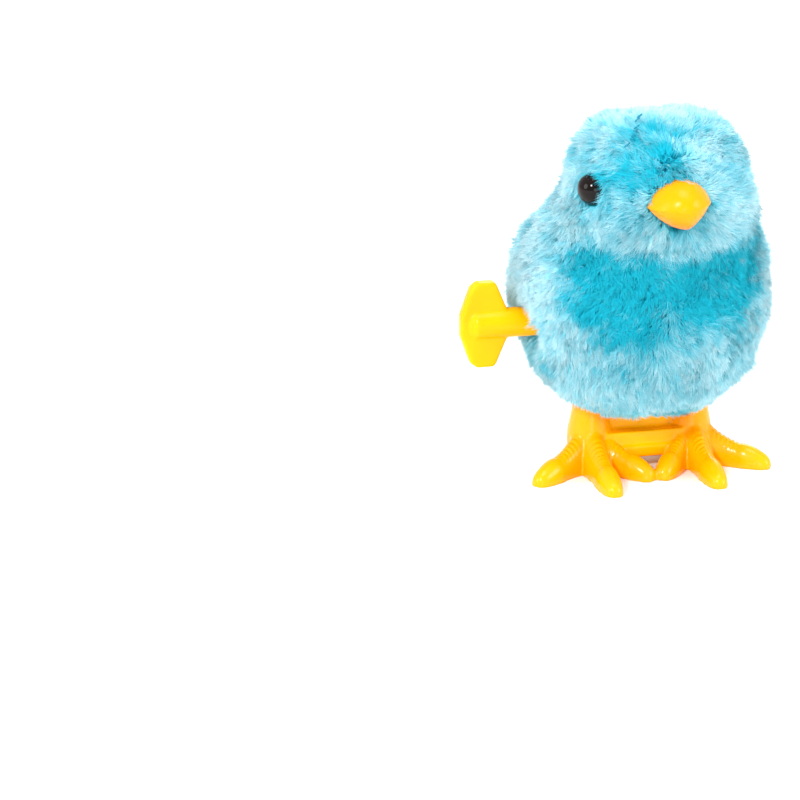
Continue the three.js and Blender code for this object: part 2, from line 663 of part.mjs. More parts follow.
function stuffing() {
  const fill = loft(innerRings(CLEAR));
  const flangeTop = CASE.bottom + FLANGE.thickness;
  const below = box(-40, 40, -40, 40, 0, flangeTop + CLEAR);
  const motor = plateX(caseShape(-0.4), -CASE.halfX - 0.4, CASE.halfX + 1.2);
  const keyHole = bar(KEY.stem + 0.6, -35, -10, ARBOR, 24);
  const beakRoom = turnedOn(beakFrame(), [[-5.6, 4.3], [3, 4.3]], 20);
  const eyeRoom = (spot) => turnedOn(eyeFrame(spot), [[-6, 3.9], [2, 3.9]], 20);
  const eyeRooms = Object.values(EYE_SPOTS).map(eyeRoom);
  return cut(fill, below, motor, keyHole, beakRoom, ...eyeRooms);
}

// ---- Assembly ----

function material(name) {
  const [color, roughness, metalness] = COLOURS[name];
  return new THREE.MeshStandardMaterial({ color, roughness, metalness });
}

const chick = new THREE.Group();
chick.position.copy(FRAME_SHIFT);

function addPiece(name, shape, look) {
  const mesh = new THREE.Mesh(geometryOf(shape), material(look));
  mesh.name = name;
  chick.add(mesh);
}

addPiece('plush_cover', plushCover(), 'plush');
addPiece('stuffing', stuffing(), 'stuffing');
for (const [name, spot] of Object.entries(EYE_SPOTS)) {
  addPiece(`eye_${name}`, eye(spot), 'eye');
  addPiece(`eye_washer_${name}`, eyeWasher(spot), 'washer');
}
addPiece('beak', beak(), 'beak');
addPiece('beak_washer', beakWasher(), 'washer');
addPiece('gearbox_right', gearboxRight(), 'feet');
addPiece('gearbox_left', gearboxLeft(), 'feet');
SCREW_SPOTS.forEach((spot, i) => addPiece(`gearbox_screw_${i + 1}`, gearboxScrew(spot), 'steel'));
addPiece('winding_key', windingKey(), 'key');
addPiece('winding_arbor', windingArbor(), 'steel');
addPiece('mainspring', mainspring(), 'spring');
addPiece('drive_gear', driveGear(), 'gear');
addPiece('first_gear', firstGear(), 'gear');
addPiece('second_gear', secondGear(), 'gear');
addPiece('crank_gear', crankGear(), 'gear');
addPiece('first_axle', bar(AXLE_RADIUS, -12.4, 12.4, FIRST, 12), 'steel');
addPiece('second_axle', bar(AXLE_RADIUS, STEP_PLANE[0] - 1.2, 12.4, SECOND, 12), 'steel');
addPiece('crank_axle', bar(AXLE_RADIUS, 3.1, 12.4, CRANK, 12), 'steel');
addPiece('feet', feet(), 'feet');
addPiece('feet_pivot_pin', bar(PIVOT_RADIUS, -CASE.halfX + 0.2, CASE.halfX - 0.2, PIVOT, 16), 'steel');

export default chick;
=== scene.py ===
"""Wind-up hopping chick: plush fur and moulded plastic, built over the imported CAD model.

The sculpture is written in millimetres around ORIGIN, the spot on the ground under the chick's middle.
The chick looks along -Y, its left side is +X and its winding key sticks out towards -X.
"""

import json
import math

import bmesh
import bpy
import numpy as np
from mathutils import Matrix, Vector, noise
from mathutils.kdtree import KDTree


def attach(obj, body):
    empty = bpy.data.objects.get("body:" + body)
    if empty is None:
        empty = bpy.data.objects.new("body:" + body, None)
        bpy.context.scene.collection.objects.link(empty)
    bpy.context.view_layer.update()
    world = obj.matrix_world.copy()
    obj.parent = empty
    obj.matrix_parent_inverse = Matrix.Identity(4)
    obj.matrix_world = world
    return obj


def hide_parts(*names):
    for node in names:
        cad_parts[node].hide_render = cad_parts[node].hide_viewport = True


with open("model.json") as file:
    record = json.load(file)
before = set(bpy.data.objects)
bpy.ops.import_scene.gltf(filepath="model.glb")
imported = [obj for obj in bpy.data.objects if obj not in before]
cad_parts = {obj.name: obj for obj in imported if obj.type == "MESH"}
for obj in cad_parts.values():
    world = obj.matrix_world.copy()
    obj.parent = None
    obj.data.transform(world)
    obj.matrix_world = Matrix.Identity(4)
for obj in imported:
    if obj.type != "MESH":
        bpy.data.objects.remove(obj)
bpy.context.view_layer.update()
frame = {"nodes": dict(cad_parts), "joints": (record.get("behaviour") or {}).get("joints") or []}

# ---- Driving dimensions, in millimetres unless a comment says otherwise ----

MM = 0.001
JOINT_AT = {joint["name"]: Vector(joint["pos_m"]) for joint in frame["joints"]}
KEY_Y, KEY_Z = 2.6, 29.8  # the key's axis
ORIGIN = Vector((JOINT_AT["key_turn"].x, JOINT_AT["key_turn"].y - KEY_Y * MM, 0))

# Outline of the pile: height, half width, front and back.
BODY_LEVELS = [
    (13.2, 14.7, -12.8, 12.8),
    (14.8, 16.0, -14.8, 15.8),
    (18.2, 19.2, -18.0, 20.8),
    (22.6, 22.8, -20.8, 24.4),
    (27.8, 25.2, -22.2, 26.6),
    (33.4, 26.3, -22.8, 27.4),
    (39.0, 26.4, -22.2, 26.8),
    (44.0, 25.4, -21.2, 25.2),
    (48.6, 23.6, -21.4, 21.6),
    (52.6, 21.6, -23.4, 16.6),
    (57.0, 20.0, -25.2, 12.2),
    (62.0, 18.8, -25.8, 9.6),
    (67.0, 17.2, -24.4, 7.6),
    (71.2, 14.2, -21.0, 4.2),
    (73.8, 9.4, -16.6, -0.8),
    (74.9, 3.2, -11.2, -6.4),
]
SQUARENESS = 2.25  # of the outline seen from above; 2 is an ellipse
LEAN_LOW, LEAN_HIGH = 0.6, 0.7  # sideways set of the sleeve, low down and at the eyes
LEAN_FROM, LEAN_TO = KEY_Z, 61.0  # heights between which it goes from one to the other
SKIN_RINGS, SKIN_SIDES = 52, 84
PILE_DEPTH = 3.7  # from the backing cloth to the mean height of the pile
HEM_PILE = 0.9  # the same at the hem
HEM_TOP = 24.0  # the pile thins out below this height
OPENING = (14.2, 11.9, -0.4)  # half width, half depth and y of the hole in the underside
HEM_INSIDE = (14.4, 17.9)  # heights between which the hem is turned in
KEY_DENT = 3.6  # how far the cloth is drawn in round the key
DENT_CENTRE = (KEY_Y - 3.4, KEY_Z + 0.3)  # y and z, a little in front of the key
DENT_FLAT, DENT_RADIUS = 2.0, 8.5
KEY_ENTRY = -22.0  # x at which the key passes through the cloth
WAD_INSET, WAD_LUMPS = 0.55, 0.4  # how far the fibre wad lies inside its CAD solid, and its relief

# Cloth simulation.
CLOTH_SCALE = 10.0  # the cloth is simulated this much larger, where its solver behaves best
CLOTH_PRESSURE = 4
CLOTH_FRAMES = 20
CLOTH_MOVE = 1.2  # furthest that a point of the cloth may move
HELD_RINGS = 6  # rings of the hem that are glued down
HELD_RADIUS = 6.5  # round each eye, the beak and the key

# Eyes and beak.
EYE_SPOTS = {"right": (-15.2, -15.3, 61.0), "left": (14.4, -10.0, 61.0)}
EYE_RADIUS = 3.2
EYE_DOME = 2.95  # height of the bead
EYE_CENTRE = Vector((0, -6.5, 59.0))  # the beads face away from this point
BEAK = Vector((LEAN_HIGH - 0.5, -22.6, 58.9))
BEAK_HALF_WIDTH, BEAK_HALF_HEIGHT = 6.3, 4.7
BEAK_LENGTH = 7.4
BEAK_ROLL = 0.06  # rise of the mouth towards the chick's left

# Fur.
STRANDS = 310_000
CLUMPS = 16_000
STRAND_WIDTH = 0.15
STRAND_LENGTH = 4.2
FACE_RADII = (22, 20, 15)  # round the beak, where the pile spreads away from it
FRINGE = BEAK + Vector((0, 1, 6.0))  # above the beak, where it hangs down again
FRINGE_RADII = (5.5, 7, 3.2)
CROWN_FROM, CROWN_TO = 66.5, 72.5  # heights between which it turns to run backwards
KEY_SIDE = -8.0  # what has a smaller x is on the key's side
BASE_SHADE = 0.6  # 0 is the deepest colour, 1 the palest
BASE_LIE = 30  # lean of the fibres from upright, in degrees
LIE_RANGE = (8, 76)
EYE_CLEAR, EYE_CLEAR_INSIDE = 0.45, 0.15  # bare rim round an eye, less towards the beak
KEY_CLEAR = 0.25
ZONE_HEIGHTS = [27.0, 39.0, 50.0, 62.0]  # between the zones that the pile is divided into
ZONES = ["hem", "belly", "chest", "cheek", "crown"]
SEED = 11

# Key.
STEM_RADIUS = 3.0
STEM_FROM, SHOULDER = -14.1, -27.3  # x of the stem's inner end and of the bow's shoulder
BORE_RADIUS, BORE_END = 1.75, -22.2
BOW_THICKNESS = 2.8
BOW_MIDDLE = -4.0  # from the shoulder
# Upper half of the bow's outline: x from the shoulder, z from the axis.
BOW_WING = [(1.0, 2.0), (-1.6, 8.2), (-2.2, 8.8), (-5.6, 8.8), (-6.9, 7.8), (-7.6, 6.0), (-9.0, 2.0)]

# Feet.
ANKLE = Vector((10.5, -2.0))
# Height, half width and half depth of a shin.
SHIN_LEVELS = [
    (0.0, 4.0, 4.6),
    (3.0, 4.3, 5.0),
    (7.0, 4.4, 4.9),
    (11.0, 3.7, 4.3),
    (14.0, 3.0, 3.6),
    (15.6, 1.6, 2.0),
]
# Root and tip of each left toe.
TOES = {
    "outer": ((12.0, -3.6), (24.4, -12.6)),
    "middle": ((10.6, -5.0), (10.8, -22.4)),
    "inner": ((9.2, -3.8), (0.7, -14.6)),
    "rear": ((10.4, 0.0), (8.6, 13.2)),
}
# Share of a toe's length, half width and height.
TOE_STATIONS = [
    (0.00, 3.0, 10.4),
    (0.12, 2.9, 8.1),
    (0.24, 2.7, 6.4),
    (0.36, 2.45, 5.3),
    (0.47, 2.35, 4.65),
    (0.56, 2.38, 4.45),
    (0.63, 2.5, 4.5),
    (0.70, 2.46, 4.32),
    (0.80, 2.28, 3.8),
    (0.88, 2.05, 3.2),
    (0.94, 1.75, 2.6),
    (0.98, 1.3, 1.9),
    (1.00, 0.8, 1.2),
]
TOE_RIDGES = 7
RIDGES_FROM, RIDGES_TO = 0.14, 0.56  # shares of a toe's length
RIDGE_HEIGHT = 0.6
# The bridge between the feet: a bar with a lip at its lower front and a wall on its back.
BRIDGE = {
    "half": 8.0,
    "front": -6.4,
    "wall": -3.4,
    "back": 1.6,
    "bottom": 2.6,
    "step": 5.0,
    "top": 7.8,
    "wall_top": 11.4,
    "lip": 0.6,
}
ARM_HALF = 3.0  # the rocker arm is what the CAD feet hold this close to the middle

# Size of the remesh that fuses each moulding, and of the wad's.
FOOT_VOXEL = 0.26
KEY_VOXEL = 0.24
BEAK_VOXEL = 0.16
WAD_VOXEL = 1.2

# Camera and lights, in metres and degrees.
AZIMUTH, ELEVATION = -13.5, 18.0
CAMERA_TARGET = Vector((4.5, 1.3, 30.0)) * MM
CAMERA_DISTANCE = 0.7
CAMERA_SHIFT = (-0.0477, -0.0168)  # to the right and up
LENS, SENSOR = 157.5, 36
LIT_SPOT = (0.0045, 0, 0.035)
# Name, place, what it faces, diameter and watts.
SOFTBOXES = [
    ("front", (-0.46, -0.49, 0.47), LIT_SPOT, 0.14, 4.3),
    ("low", (-0.15, -0.8, 0.12), (0.0045, 0, 0.01), 0.3, 1.0),
    ("left", (-0.78, -0.1, 0.3), LIT_SPOT, 0.4, 1.8),
    ("back", (0.3, 0.65, 0.5), LIT_SPOT, 0.5, 3.0),
    ("overhead", (0.0, -0.15, 0.85), LIT_SPOT, 0.5, 3.6),
    ("side", (0.65, -0.4, 0.3), LIT_SPOT, 0.4, 3.0),
]
SURROUND = 0.85  # brightness of the white surroundings
FLOOR_HALF = 3

rng = np.random.default_rng(SEED)


# ---- Small helpers ----


def place(point):
    """A point in millimetres around the chick as a place in the frame, in metres."""
    return ORIGIN + Vector(point) * MM


def smoothstep(low, high, value):
    """0 below a low value, 1 above a high one and a smooth rise between."""
    share = np.clip((value - low) / (high - low), 0, 1)
    return share * share * (3 - 2 * share)


def catmull(rows, share):
    """Rows of numbers smoothly interpolated at a share of their list's length."""
    at = share * (len(rows) - 1)
    i = min(int(at), len(rows) - 2)
    t = at - i
    before, start, end, after = (
        np.array(rows[min(max(k, 0), len(rows) - 1)], float) for k in (i - 1, i, i + 1, i + 2)
    )
    return 0.5 * (
        2 * start
        + (end - before) * t
        + (2 * before - 5 * start + 4 * end - after) * t**2
        + (3 * start - before - 3 * end + after) * t**3
    )


def rounded(angle, half_x, half_y, squareness):
    """A point of a rounded-square outline; squareness 2 gives an ellipse."""
    power = 2 / squareness
    c, s = math.cos(angle), math.sin(angle)
    return (
        half_x * math.copysign(abs(c) ** power, c),
        half_y * math.copysign(abs(s) ** power, s),
    )


def link(name, data):
    """An object for a mesh, camera or light, linked to the scene."""
    made = bpy.data.objects.new(name, data)
    bpy.context.scene.collection.objects.link(made)
    return made


def mesh_object(name, points, faces):
    """An object from points in metres."""
    mesh = bpy.data.meshes.new(name)
    mesh.from_pydata([tuple(p) for p in points], [], faces)
    mesh.update()
    return link(name, mesh)


def grid_faces(rings, sides):
    """Quads between rings of points that run round."""
    faces = []
    for r in range(rings - 1):
        for s in range(sides):
            a = r * sides + s
            b = r * sides + (s + 1) % sides
            faces.append((a, b, b + sides, a + sides))
    return faces


def capped(name, points, sides):
    """A closed body through points in metres, ring after ring, with a face over each end."""
    faces = grid_faces(len(points) // sides, sides)
    faces.append(tuple(reversed(range(sides))))
    faces.append(tuple(range(len(points) - sides, len(points))))
    return mesh_object(name, points, faces)


def closed_loft(name, rings):
    """A closed body through rings of points in millimetres."""
    return capped(name, [place(p) for ring in rings for p in ring], len(rings[0]))


def turned(name, profile, matrix, sides=48):
    """A turned body from (height, radius) steps in millimetres, placed by a matrix in metres."""
    points = []
    for height, radius in profile:
        for s in range(sides):
            angle = 2 * math.pi * s / sides
            step = Vector((radius * math.cos(angle), radius * math.sin(angle), height))
            points.append(matrix @ (step * MM))
    return capped(name, points, sides)


def apply_modifiers(thing):
    """Bakes an object's modifiers into its own mesh."""
    graph = bpy.context.evaluated_depsgraph_get()
    mesh = bpy.data.meshes.new_from_object(thing.evaluated_get(graph))
    thing.modifiers.clear()
    old = thing.data
    thing.data = mesh
    mesh.name = thing.name
    bpy.data.meshes.remove(old)
    return thing


def joined(name, things):
    """One object out of several, with overlapping bodies left as they are."""
    merged = bmesh.new()
    for thing in things:
        merged.from_mesh(thing.data)
        bpy.data.objects.remove(thing)
    mesh = bpy.data.meshes.new(name)
    merged.to_mesh(mesh)
    merged.free()
    return link(name, mesh)


def add_remesh(thing, voxel):
    remesh = thing.modifiers.new("remesh", "REMESH")
    remesh.mode = "VOXEL"
    remesh.voxel_size = voxel * MM
    return remesh


def fused(thing, voxel, smoothing):
    """Fuses overlapping bodies into one moulding and rounds its edges."""
    add_remesh(thing, voxel).use_smooth_shade = True
    smooth = thing.modifiers.new("smooth", "SMOOTH")
    smooth.factor = 0.5
    smooth.iterations = smoothing
    return apply_modifiers(thing)


def shade_smooth(thing):
    thing.data.shade_smooth()
    return thing


def paint(thing, material):
    thing.data.materials.clear()
    thing.data.materials.append(material)
    return thing


# ---- Materials ----


class Nodes:
    """A material's node tree with short calls for what the materials here share."""

    def __init__(self, name):
        self.material = bpy.data.materials.new(name)
        self.material.use_nodes = True
        self.tree = self.material.node_tree
        self.shader = next(n for n in self.tree.nodes if n.type == "BSDF_PRINCIPLED")

    def add(self, kind, **settings):
        """A new node with its properties set."""
        node = self.tree.nodes.new(kind)
        for key, value in settings.items():
            setattr(node, key, value)
        return node

    def join(self, output, target):
        self.tree.links.new(output, target)

    def set(self, **values):
        """Constant values on the shader's own sockets; _ stands for a space."""
        for key, value in values.items():
            self.shader.inputs[key.replace("_", " ")].default_value = value

    def place(self, scale=(1, 1, 1)):
        """Object coordinates, in metres, stretched by a scale."""
        mapping = self.add("ShaderNodeMapping")
        mapping.inputs["Scale"].default_value = scale
        self.join(self.add("ShaderNodeTexCoord").outputs["Object"], mapping.inputs["Vector"])
        return mapping.outputs["Vector"]

    def noise(self, scale, detail=3, stretch=(1, 1, 1)):
        """Cloudy noise; the scale is its features per metre."""
        made = self.add("ShaderNodeTexNoise")
        made.inputs["Scale"].default_value = scale
        made.inputs["Detail"].default_value = detail
        self.join(self.place(stretch), made.inputs["Vector"])
        return made.outputs["Fac"]

    def ramp(self, factor, stops):
        """Colours blended through (position, colour) stops."""
        made = self.add("ShaderNodeValToRGB")
        elements = made.color_ramp.elements
        while len(elements) < len(stops):
            elements.new(0.5)
        for element, (position, colour) in zip(elements, stops):
            element.position = position
            element.color = (*colour, 1)
        self.join(factor, made.inputs["Fac"])
        return made.outputs["Color"]

    def mix(self, factor, first, second):
        made = self.add("ShaderNodeMix", data_type="RGBA")
        self.join(factor, made.inputs["Factor"])
        self.join(first, made.inputs["A"])
        self.join(second, made.inputs["B"])
        return made.outputs["Result"]

    def rescale(self, value, low, high):
        """A value from 0 to 1 moved into another range."""
        made = self.add("ShaderNodeMapRange")
        made.inputs["To Min"].default_value = low
        made.inputs["To Max"].default_value = high
        self.join(value, made.inputs["Value"])
        return made.outputs["Result"]

    def bump(self, height, strength, distance):
        """Relief on the shader; the distance is in millimetres."""
        made = self.add("ShaderNodeBump")
        made.inputs["Strength"].default_value = strength
        made.inputs["Distance"].default_value = distance * MM
        self.join(height, made.inputs["Height"])
        self.join(made.outputs["Normal"], self.shader.inputs["Normal"])


def linear(red, green, blue):
    """A display colour, 0 to 255, as a scene colour."""
    return tuple(
        v / 12.92 if v <= 0.04045 else ((v + 0.055) / 1.055) ** 2.4
        for v in (red / 255, green / 255, blue / 255)
    )


def fur_material():
    """Fibres deep at the root and pale at the tip; the UV map holds each strand's shade and length."""
    n = Nodes("plush_fibre")
    uv = n.add("ShaderNodeUVMap", uv_map="OFBake")
    split = n.add("ShaderNodeSeparateXYZ")
    n.join(uv.outputs["UV"], split.inputs["Vector"])
    deep = n.ramp(
        split.outputs["Y"],
        [
            (0.0, linear(0, 140, 170)),
            (0.35, linear(0, 160, 188)),
            (0.75, linear(0, 172, 196)),
            (1.0, linear(0, 182, 204)),
        ],
    )
    pale = n.ramp(
        split.outputs["Y"],
        [
            (0.0, linear(10, 180, 202)),
            (0.3, linear(60, 202, 220)),
            (0.65, linear(148, 222, 234)),
            (1.0, linear(226, 241, 247)),
        ],
    )
    n.join(n.mix(split.outputs["X"], deep, pale), n.shader.inputs["Base Color"])
    n.set(Roughness=0.9)
    n.shader.inputs["Specular IOR Level"].default_value = 0.1
    return n.material


def backing_material():
    """Knitted backing cloth, seen only between the fibres and inside the hem."""
    n = Nodes("plush_backing")
    knit = n.add("ShaderNodeTexVoronoi")
    knit.inputs["Scale"].default_value = 1400
    n.join(n.place((1, 1, 0.7)), knit.inputs["Vector"])
    colour = n.ramp(
        knit.outputs["Distance"],
        [(0.0, linear(110, 214, 230)), (0.8, linear(20, 164, 194))],
    )
    n.join(colour, n.shader.inputs["Base Color"])
    n.set(Roughness=0.95)
    n.bump(knit.outputs["Distance"], 0.6, 0.2)
    return n.material


def finish_moulding(n, gloss=(0.2, 0.3), grain=(900, 0.12, 0.15), specular=0.12):
    """The sheen and the fine grain of moulded plastic; grain is noise scale, strength and depth."""
    scale, strength, depth = grain
    n.join(n.rescale(n.noise(420, 4), *gloss), n.shader.inputs["Roughness"])
    n.bump(n.noise(scale, 3), strength, depth)
    n.shader.inputs["Specular IOR Level"].default_value = specular


def glow_through(n, weight, scale, blue):
    """Light scattered inside yellow plastic, which lets little blue through."""
    n.set(Subsurface_Weight=weight, Subsurface_Scale=scale)
    n.shader.inputs["Subsurface Radius"].default_value = (1.0, 0.45, blue)


def clouded(n, value, amount, scale):
    """A value with a little cloudy noise added."""
    cloud = n.add("ShaderNodeMath", operation="MULTIPLY_ADD")
    n.join(n.noise(scale, 3), cloud.inputs[0])
    cloud.inputs[1].default_value = amount
    n.join(value, cloud.inputs[2])
    return cloud.outputs["Value"]


def share_between(n, value, low, high):
    """0 where a value in metres is at a low limit, 1 at a high one."""
    made = n.add("ShaderNodeMapRange")
    made.inputs["From Min"].default_value = low
    made.inputs["From Max"].default_value = high
    n.join(value, made.inputs["Value"])
    return made.outputs["Result"]


def plastic_material(name, dark, middle, light):
    """Moulded plastic, slightly cloudy between three colours."""
    n = Nodes(name)
    colour = n.ramp(n.noise(120, 3), [(0.3, dark), (0.52, middle), (0.75, light)])
    n.join(colour, n.shader.inputs["Base Color"])
    finish_moulding(n)
    glow_through(n, 0.06, 0.004, 0.08)
    return n.material


def beak_material():
    """Yellow plastic that turns orange towards the underside of the lower half, as painted shade."""
    n = Nodes("beak_plastic")
    split = n.add("ShaderNodeSeparateXYZ")
    n.join(n.add("ShaderNodeTexCoord").outputs["Object"], split.inputs["Vector"])
    bottom, top = (BEAK.z - BEAK_HALF_HEIGHT) * MM, (BEAK.z + 1.5) * MM
    height = share_between(n, split.outputs["Z"], bottom, top)
    # painted shade: orange at the underside, rising to yellow towards the top
    colour = n.ramp(
        clouded(n, height, 0.16, 150),
        [
            (0.1, linear(255, 130, 0)),
            (0.5, linear(255, 145, 0)),
            (0.9, linear(250, 151, 0)),
        ],
    )
    n.join(colour, n.shader.inputs["Base Color"])
    finish_moulding(n)
    glow_through(n, 0.06, 0.003, 0.08)
    return n.material


def feet_material():
    """Glossy amber plastic, a little yellower in the bridge than in the shins and toes, as painted
    light on the bridge in the hem's shade.
    """
    n = Nodes("feet_plastic")
    away = n.add("ShaderNodeVectorMath", operation="DISTANCE")
    n.join(n.place((1, 1, 0)), away.inputs[0])
    away.inputs[1].default_value = (ORIGIN.x, ORIGIN.y - 1 * MM, 0)
    reach = share_between(n, away.outputs["Value"], 4 * MM, 26 * MM)
    # painted light: the yellower stop near the middle lifts the bridge out of the shade under the hem
    colour = n.ramp(
        clouded(n, reach, 0.25, 160),
        [
            (0.15, linear(255, 182, 0)),
            (0.4, linear(255, 162, 0)),
            (0.8, linear(252, 160, 0)),
            (1.0, linear(250, 164, 0)),
        ],
    )
    n.join(colour, n.shader.inputs["Base Color"])
    finish_moulding(n, (0.16, 0.28), (700, 0.14, 0.2), 0.16)
    glow_through(n, 0.08, 0.003, 0.05)
    n.set(Coat_Weight=0.1, Coat_Roughness=0.1)
    return n.material


def bead_material():
    """Near-black glossy plastic with a trace of brown."""
    n = Nodes("eye_bead")
    colour = n.ramp(n.noise(260, 4), [(0.3, linear(6, 4, 4)), (0.7, linear(22, 13, 11))])
    n.join(colour, n.shader.inputs["Base Color"])
    n.join(n.rescale(n.noise(500, 3), 0.03, 0.09), n.shader.inputs["Roughness"])
    n.shader.inputs["Specular IOR Level"].default_value = 0.18
    return n.material


def thread_material():
    """Dark turquoise sewing thread with its twist, darker in the twist's grooves as painted shade."""
    n = Nodes("seam_thread")
    twist = n.add("ShaderNodeTexWave", bands_direction="DIAGONAL")
    twist.inputs["Scale"].default_value = 2600
    n.join(n.place(), twist.inputs["Vector"])
    # painted shade: the colour darkens where the twist's bump is low, in its grooves
    colour = n.ramp(twist.outputs["Fac"], [(0.2, linear(0, 96, 124)), (0.8, linear(0, 146, 176))])
    n.join(colour, n.shader.inputs["Base Color"])
    n.bump(twist.outputs["Fac"], 0.5, 0.1)
    n.set(Roughness=0.75)
    return n.material


def steel_material(name, dark, light):
    """Drawn or rolled steel with fine streaks along it."""
    n = Nodes(name)
    drawn = n.noise(900, 5, (0.05, 1, 1))
    n.join(n.ramp(drawn, [(0.3, dark), (0.7, light)]), n.shader.inputs["Base Color"])
    n.join(n.rescale(drawn, 0.22, 0.42), n.shader.inputs["Roughness"])
    n.bump(drawn, 0.15, 0.05)
    n.set(Metallic=1.0)
    return n.material


def fill_material():
    """White polyester fibre."""
    n = Nodes("fibre_fill")
    fibres = n.noise(900, 6, (1, 0.3, 1))
    n.join(n.ramp(fibres, [(0.3, linear(214, 214, 208)), (0.7, linear(248, 248, 245))]),
           n.shader.inputs["Base Color"])
    n.bump(fibres, 0.8, 0.5)
    n.set(Roughness=1.0, Sheen_Weight=0.3)
    return n.material


# ---- Plush sleeve ----


def lean_at(z):
    """Sideways set of the outline at a height."""
    share = min(max((z - LEAN_FROM) / (LEAN_TO - LEAN_FROM), 0), 1)
    return LEAN_LOW + (LEAN_HIGH - LEAN_LOW) * share


def outline_ring(share):
    """Points round the pile's outline at a share of its height."""
    z, half, front, back = catmull(BODY_LEVELS, share)
    ring = []
    for s in range(SKIN_SIDES):
        x, y = rounded(2 * math.pi * s / SKIN_SIDES, half, (back - front) / 2, SQUARENESS)
        ring.append((x + lean_at(z), (front + back) / 2 + y, z))
    return ring


def grid_normals(grid):
    """Outward normals of a grid of points, rings upwards and points anticlockwise."""
    around = np.roll(grid, -1, 1) - np.roll(grid, 1, 1)
    up = np.gradient(grid, axis=0)
    out = np.cross(around, up)
    return out / np.maximum(np.linalg.norm(out, axis=2, keepdims=True), 1e-9)


def key_dent(y, z, spread=0.0):
    """How far the plush is drawn in at a point of the key's side."""
    away = np.hypot(y - DENT_CENTRE[0], z - DENT_CENTRE[1])
    return KEY_DENT * (1 - smoothstep(DENT_FLAT, DENT_RADIUS + spread, away))


def skin_grid():
    """The backing cloth's points: the outline moved in by the depth of the pile."""
    grid = np.array([outline_ring(r / SKIN_RINGS) for r in range(SKIN_RINGS + 1)])
    out = grid_normals(grid)
    depth = HEM_PILE + (PILE_DEPTH - HEM_PILE) * smoothstep(BODY_LEVELS[0][0], HEM_TOP, grid[:, :, 2])
    dent = key_dent(grid[:, :, 1], grid[:, :, 2]) * (grid[:, :, 0] < 0)
    return grid - out * (depth + dent)[:, :, None]


def hem_rings():
    """The edge of the cloth turned in round the hole for the feet, from its top inwards."""
    half_x, half_y, y0 = OPENING
    rings = []
    low, high = HEM_INSIDE
    for z in np.linspace(high, low, 4):
        ring = []
        for s in range(SKIN_SIDES):
            x, y = rounded(2 * math.pi * s / SKIN_SIDES, half_x, half_y, 2)
            ring.append((x, y0 + y, z))
        rings.append(ring)
    return np.array(rings)


def fasten_points():
    """Where the cloth is held: round the eyes, the beak and the key."""
    eyes = [(x + LEAN_HIGH, y, z) for x, y, z in EYE_SPOTS.values()]
    return [*eyes, tuple(BEAK), (KEY_ENTRY, KEY_Y, KEY_Z)]


def inflate(skin, held):
    """Blows the cloth up gently between the points where it is held, and keeps the shape it takes."""
    rest = np.array([v.co for v in skin.data.vertices])
    skin.data.transform(Matrix.Scale(CLOTH_SCALE, 4))
    group = skin.vertex_groups.new(name="held")
    group.add([int(i) for i in held], 1.0, "REPLACE")
    cloth = skin.modifiers.new("cloth", "CLOTH")
    settings = cloth.settings
    settings.quality = 5
    settings.use_pressure = True
    settings.uniform_pressure_force = CLOTH_PRESSURE
    settings.effector_weights.gravity = 0
    settings.vertex_group_mass = "held"
    scene = bpy.context.scene
    for number in range(1, CLOTH_FRAMES + 1):
        scene.frame_set(number)
    graph = bpy.context.evaluated_depsgraph_get()
    blown = np.array([v.co for v in skin.evaluated_get(graph).data.vertices]) / CLOTH_SCALE
    skin.modifiers.clear()
    skin.vertex_groups.clear()
    scene.frame_set(1)
    move = blown - rest
    length = np.linalg.norm(move, axis=1, keepdims=True)
    move *= np.minimum(1, CLOTH_MOVE * MM / np.maximum(length, 1e-9))
    skin.data.vertices.foreach_set("co", (rest + move).ravel())
    skin.data.update()


def plush_skin():
    """The sewn backing: one sleeve from the turned-in hem to the crown."""
    grid = np.concatenate([hem_rings(), skin_grid()])
    rings, sides = grid.shape[:2]
    points = [place(p) for p in grid.reshape(-1, 3)]
    faces = grid_faces(rings, sides)
    points.append(place(grid[-1].mean(0)))
    last = (rings - 1) * sides
    faces += [(last + s, last + (s + 1) % sides, len(points) - 1) for s in range(sides)]
    skin = mesh_object("plush_skin", points, faces)
    flat = grid.reshape(-1, 3)
    held = set(range(HELD_RINGS * sides))
    for spot in fasten_points():
        near = np.linalg.norm(flat - np.array(spot), axis=1) < HELD_RADIUS
        held |= set(np.nonzero(near)[0])
    inflate(skin, sorted(held))
    smooth = skin.modifiers.new("subdivide", "SUBSURF")
    smooth.levels = smooth.render_levels = 1
    apply_modifiers(skin)
    return shade_smooth(skin)


# ---- Fur ----


def nearest_share(points, centre, radii):
    """1 at a centre, falling to 0 at an ellipsoid of the given radii."""
    away = np.sqrt((((points - np.array(centre)) / np.array(radii)) ** 2).sum(1))
    return 1 - smoothstep(0.25, 1.05, away)


def noise_field(points, size, seed):
    """Smooth noise from -1 to 1 with features of about the given size."""
    offset = Vector((seed * 7.3, seed * 3.1, seed * 5.7))
    return np.array([noise.noise(Vector(p) / size + offset) for p in points]) * 1.6


def tangent(direction, normals):
    """Directions laid flat against the skin, at unit length."""
    flat = direction - (direction * normals).sum(1, keepdims=True) * normals
    return flat / np.maximum(np.linalg.norm(flat, axis=1, keepdims=True), 1e-6)


def turned_to(first, second, angle):
    """First directions turned towards second ones, at right angles to them, by an angle each."""
    return first * np.cos(angle)[:, None] + second * np.sin(angle)[:, None]


def read_out(source, name, kind=float):
    """An attribute of a mesh's vertices or triangles as rows of three numbers."""
    values = np.empty(len(source) * 3, kind)
    source.foreach_get(name, values)
    return values.reshape(-1, 3)


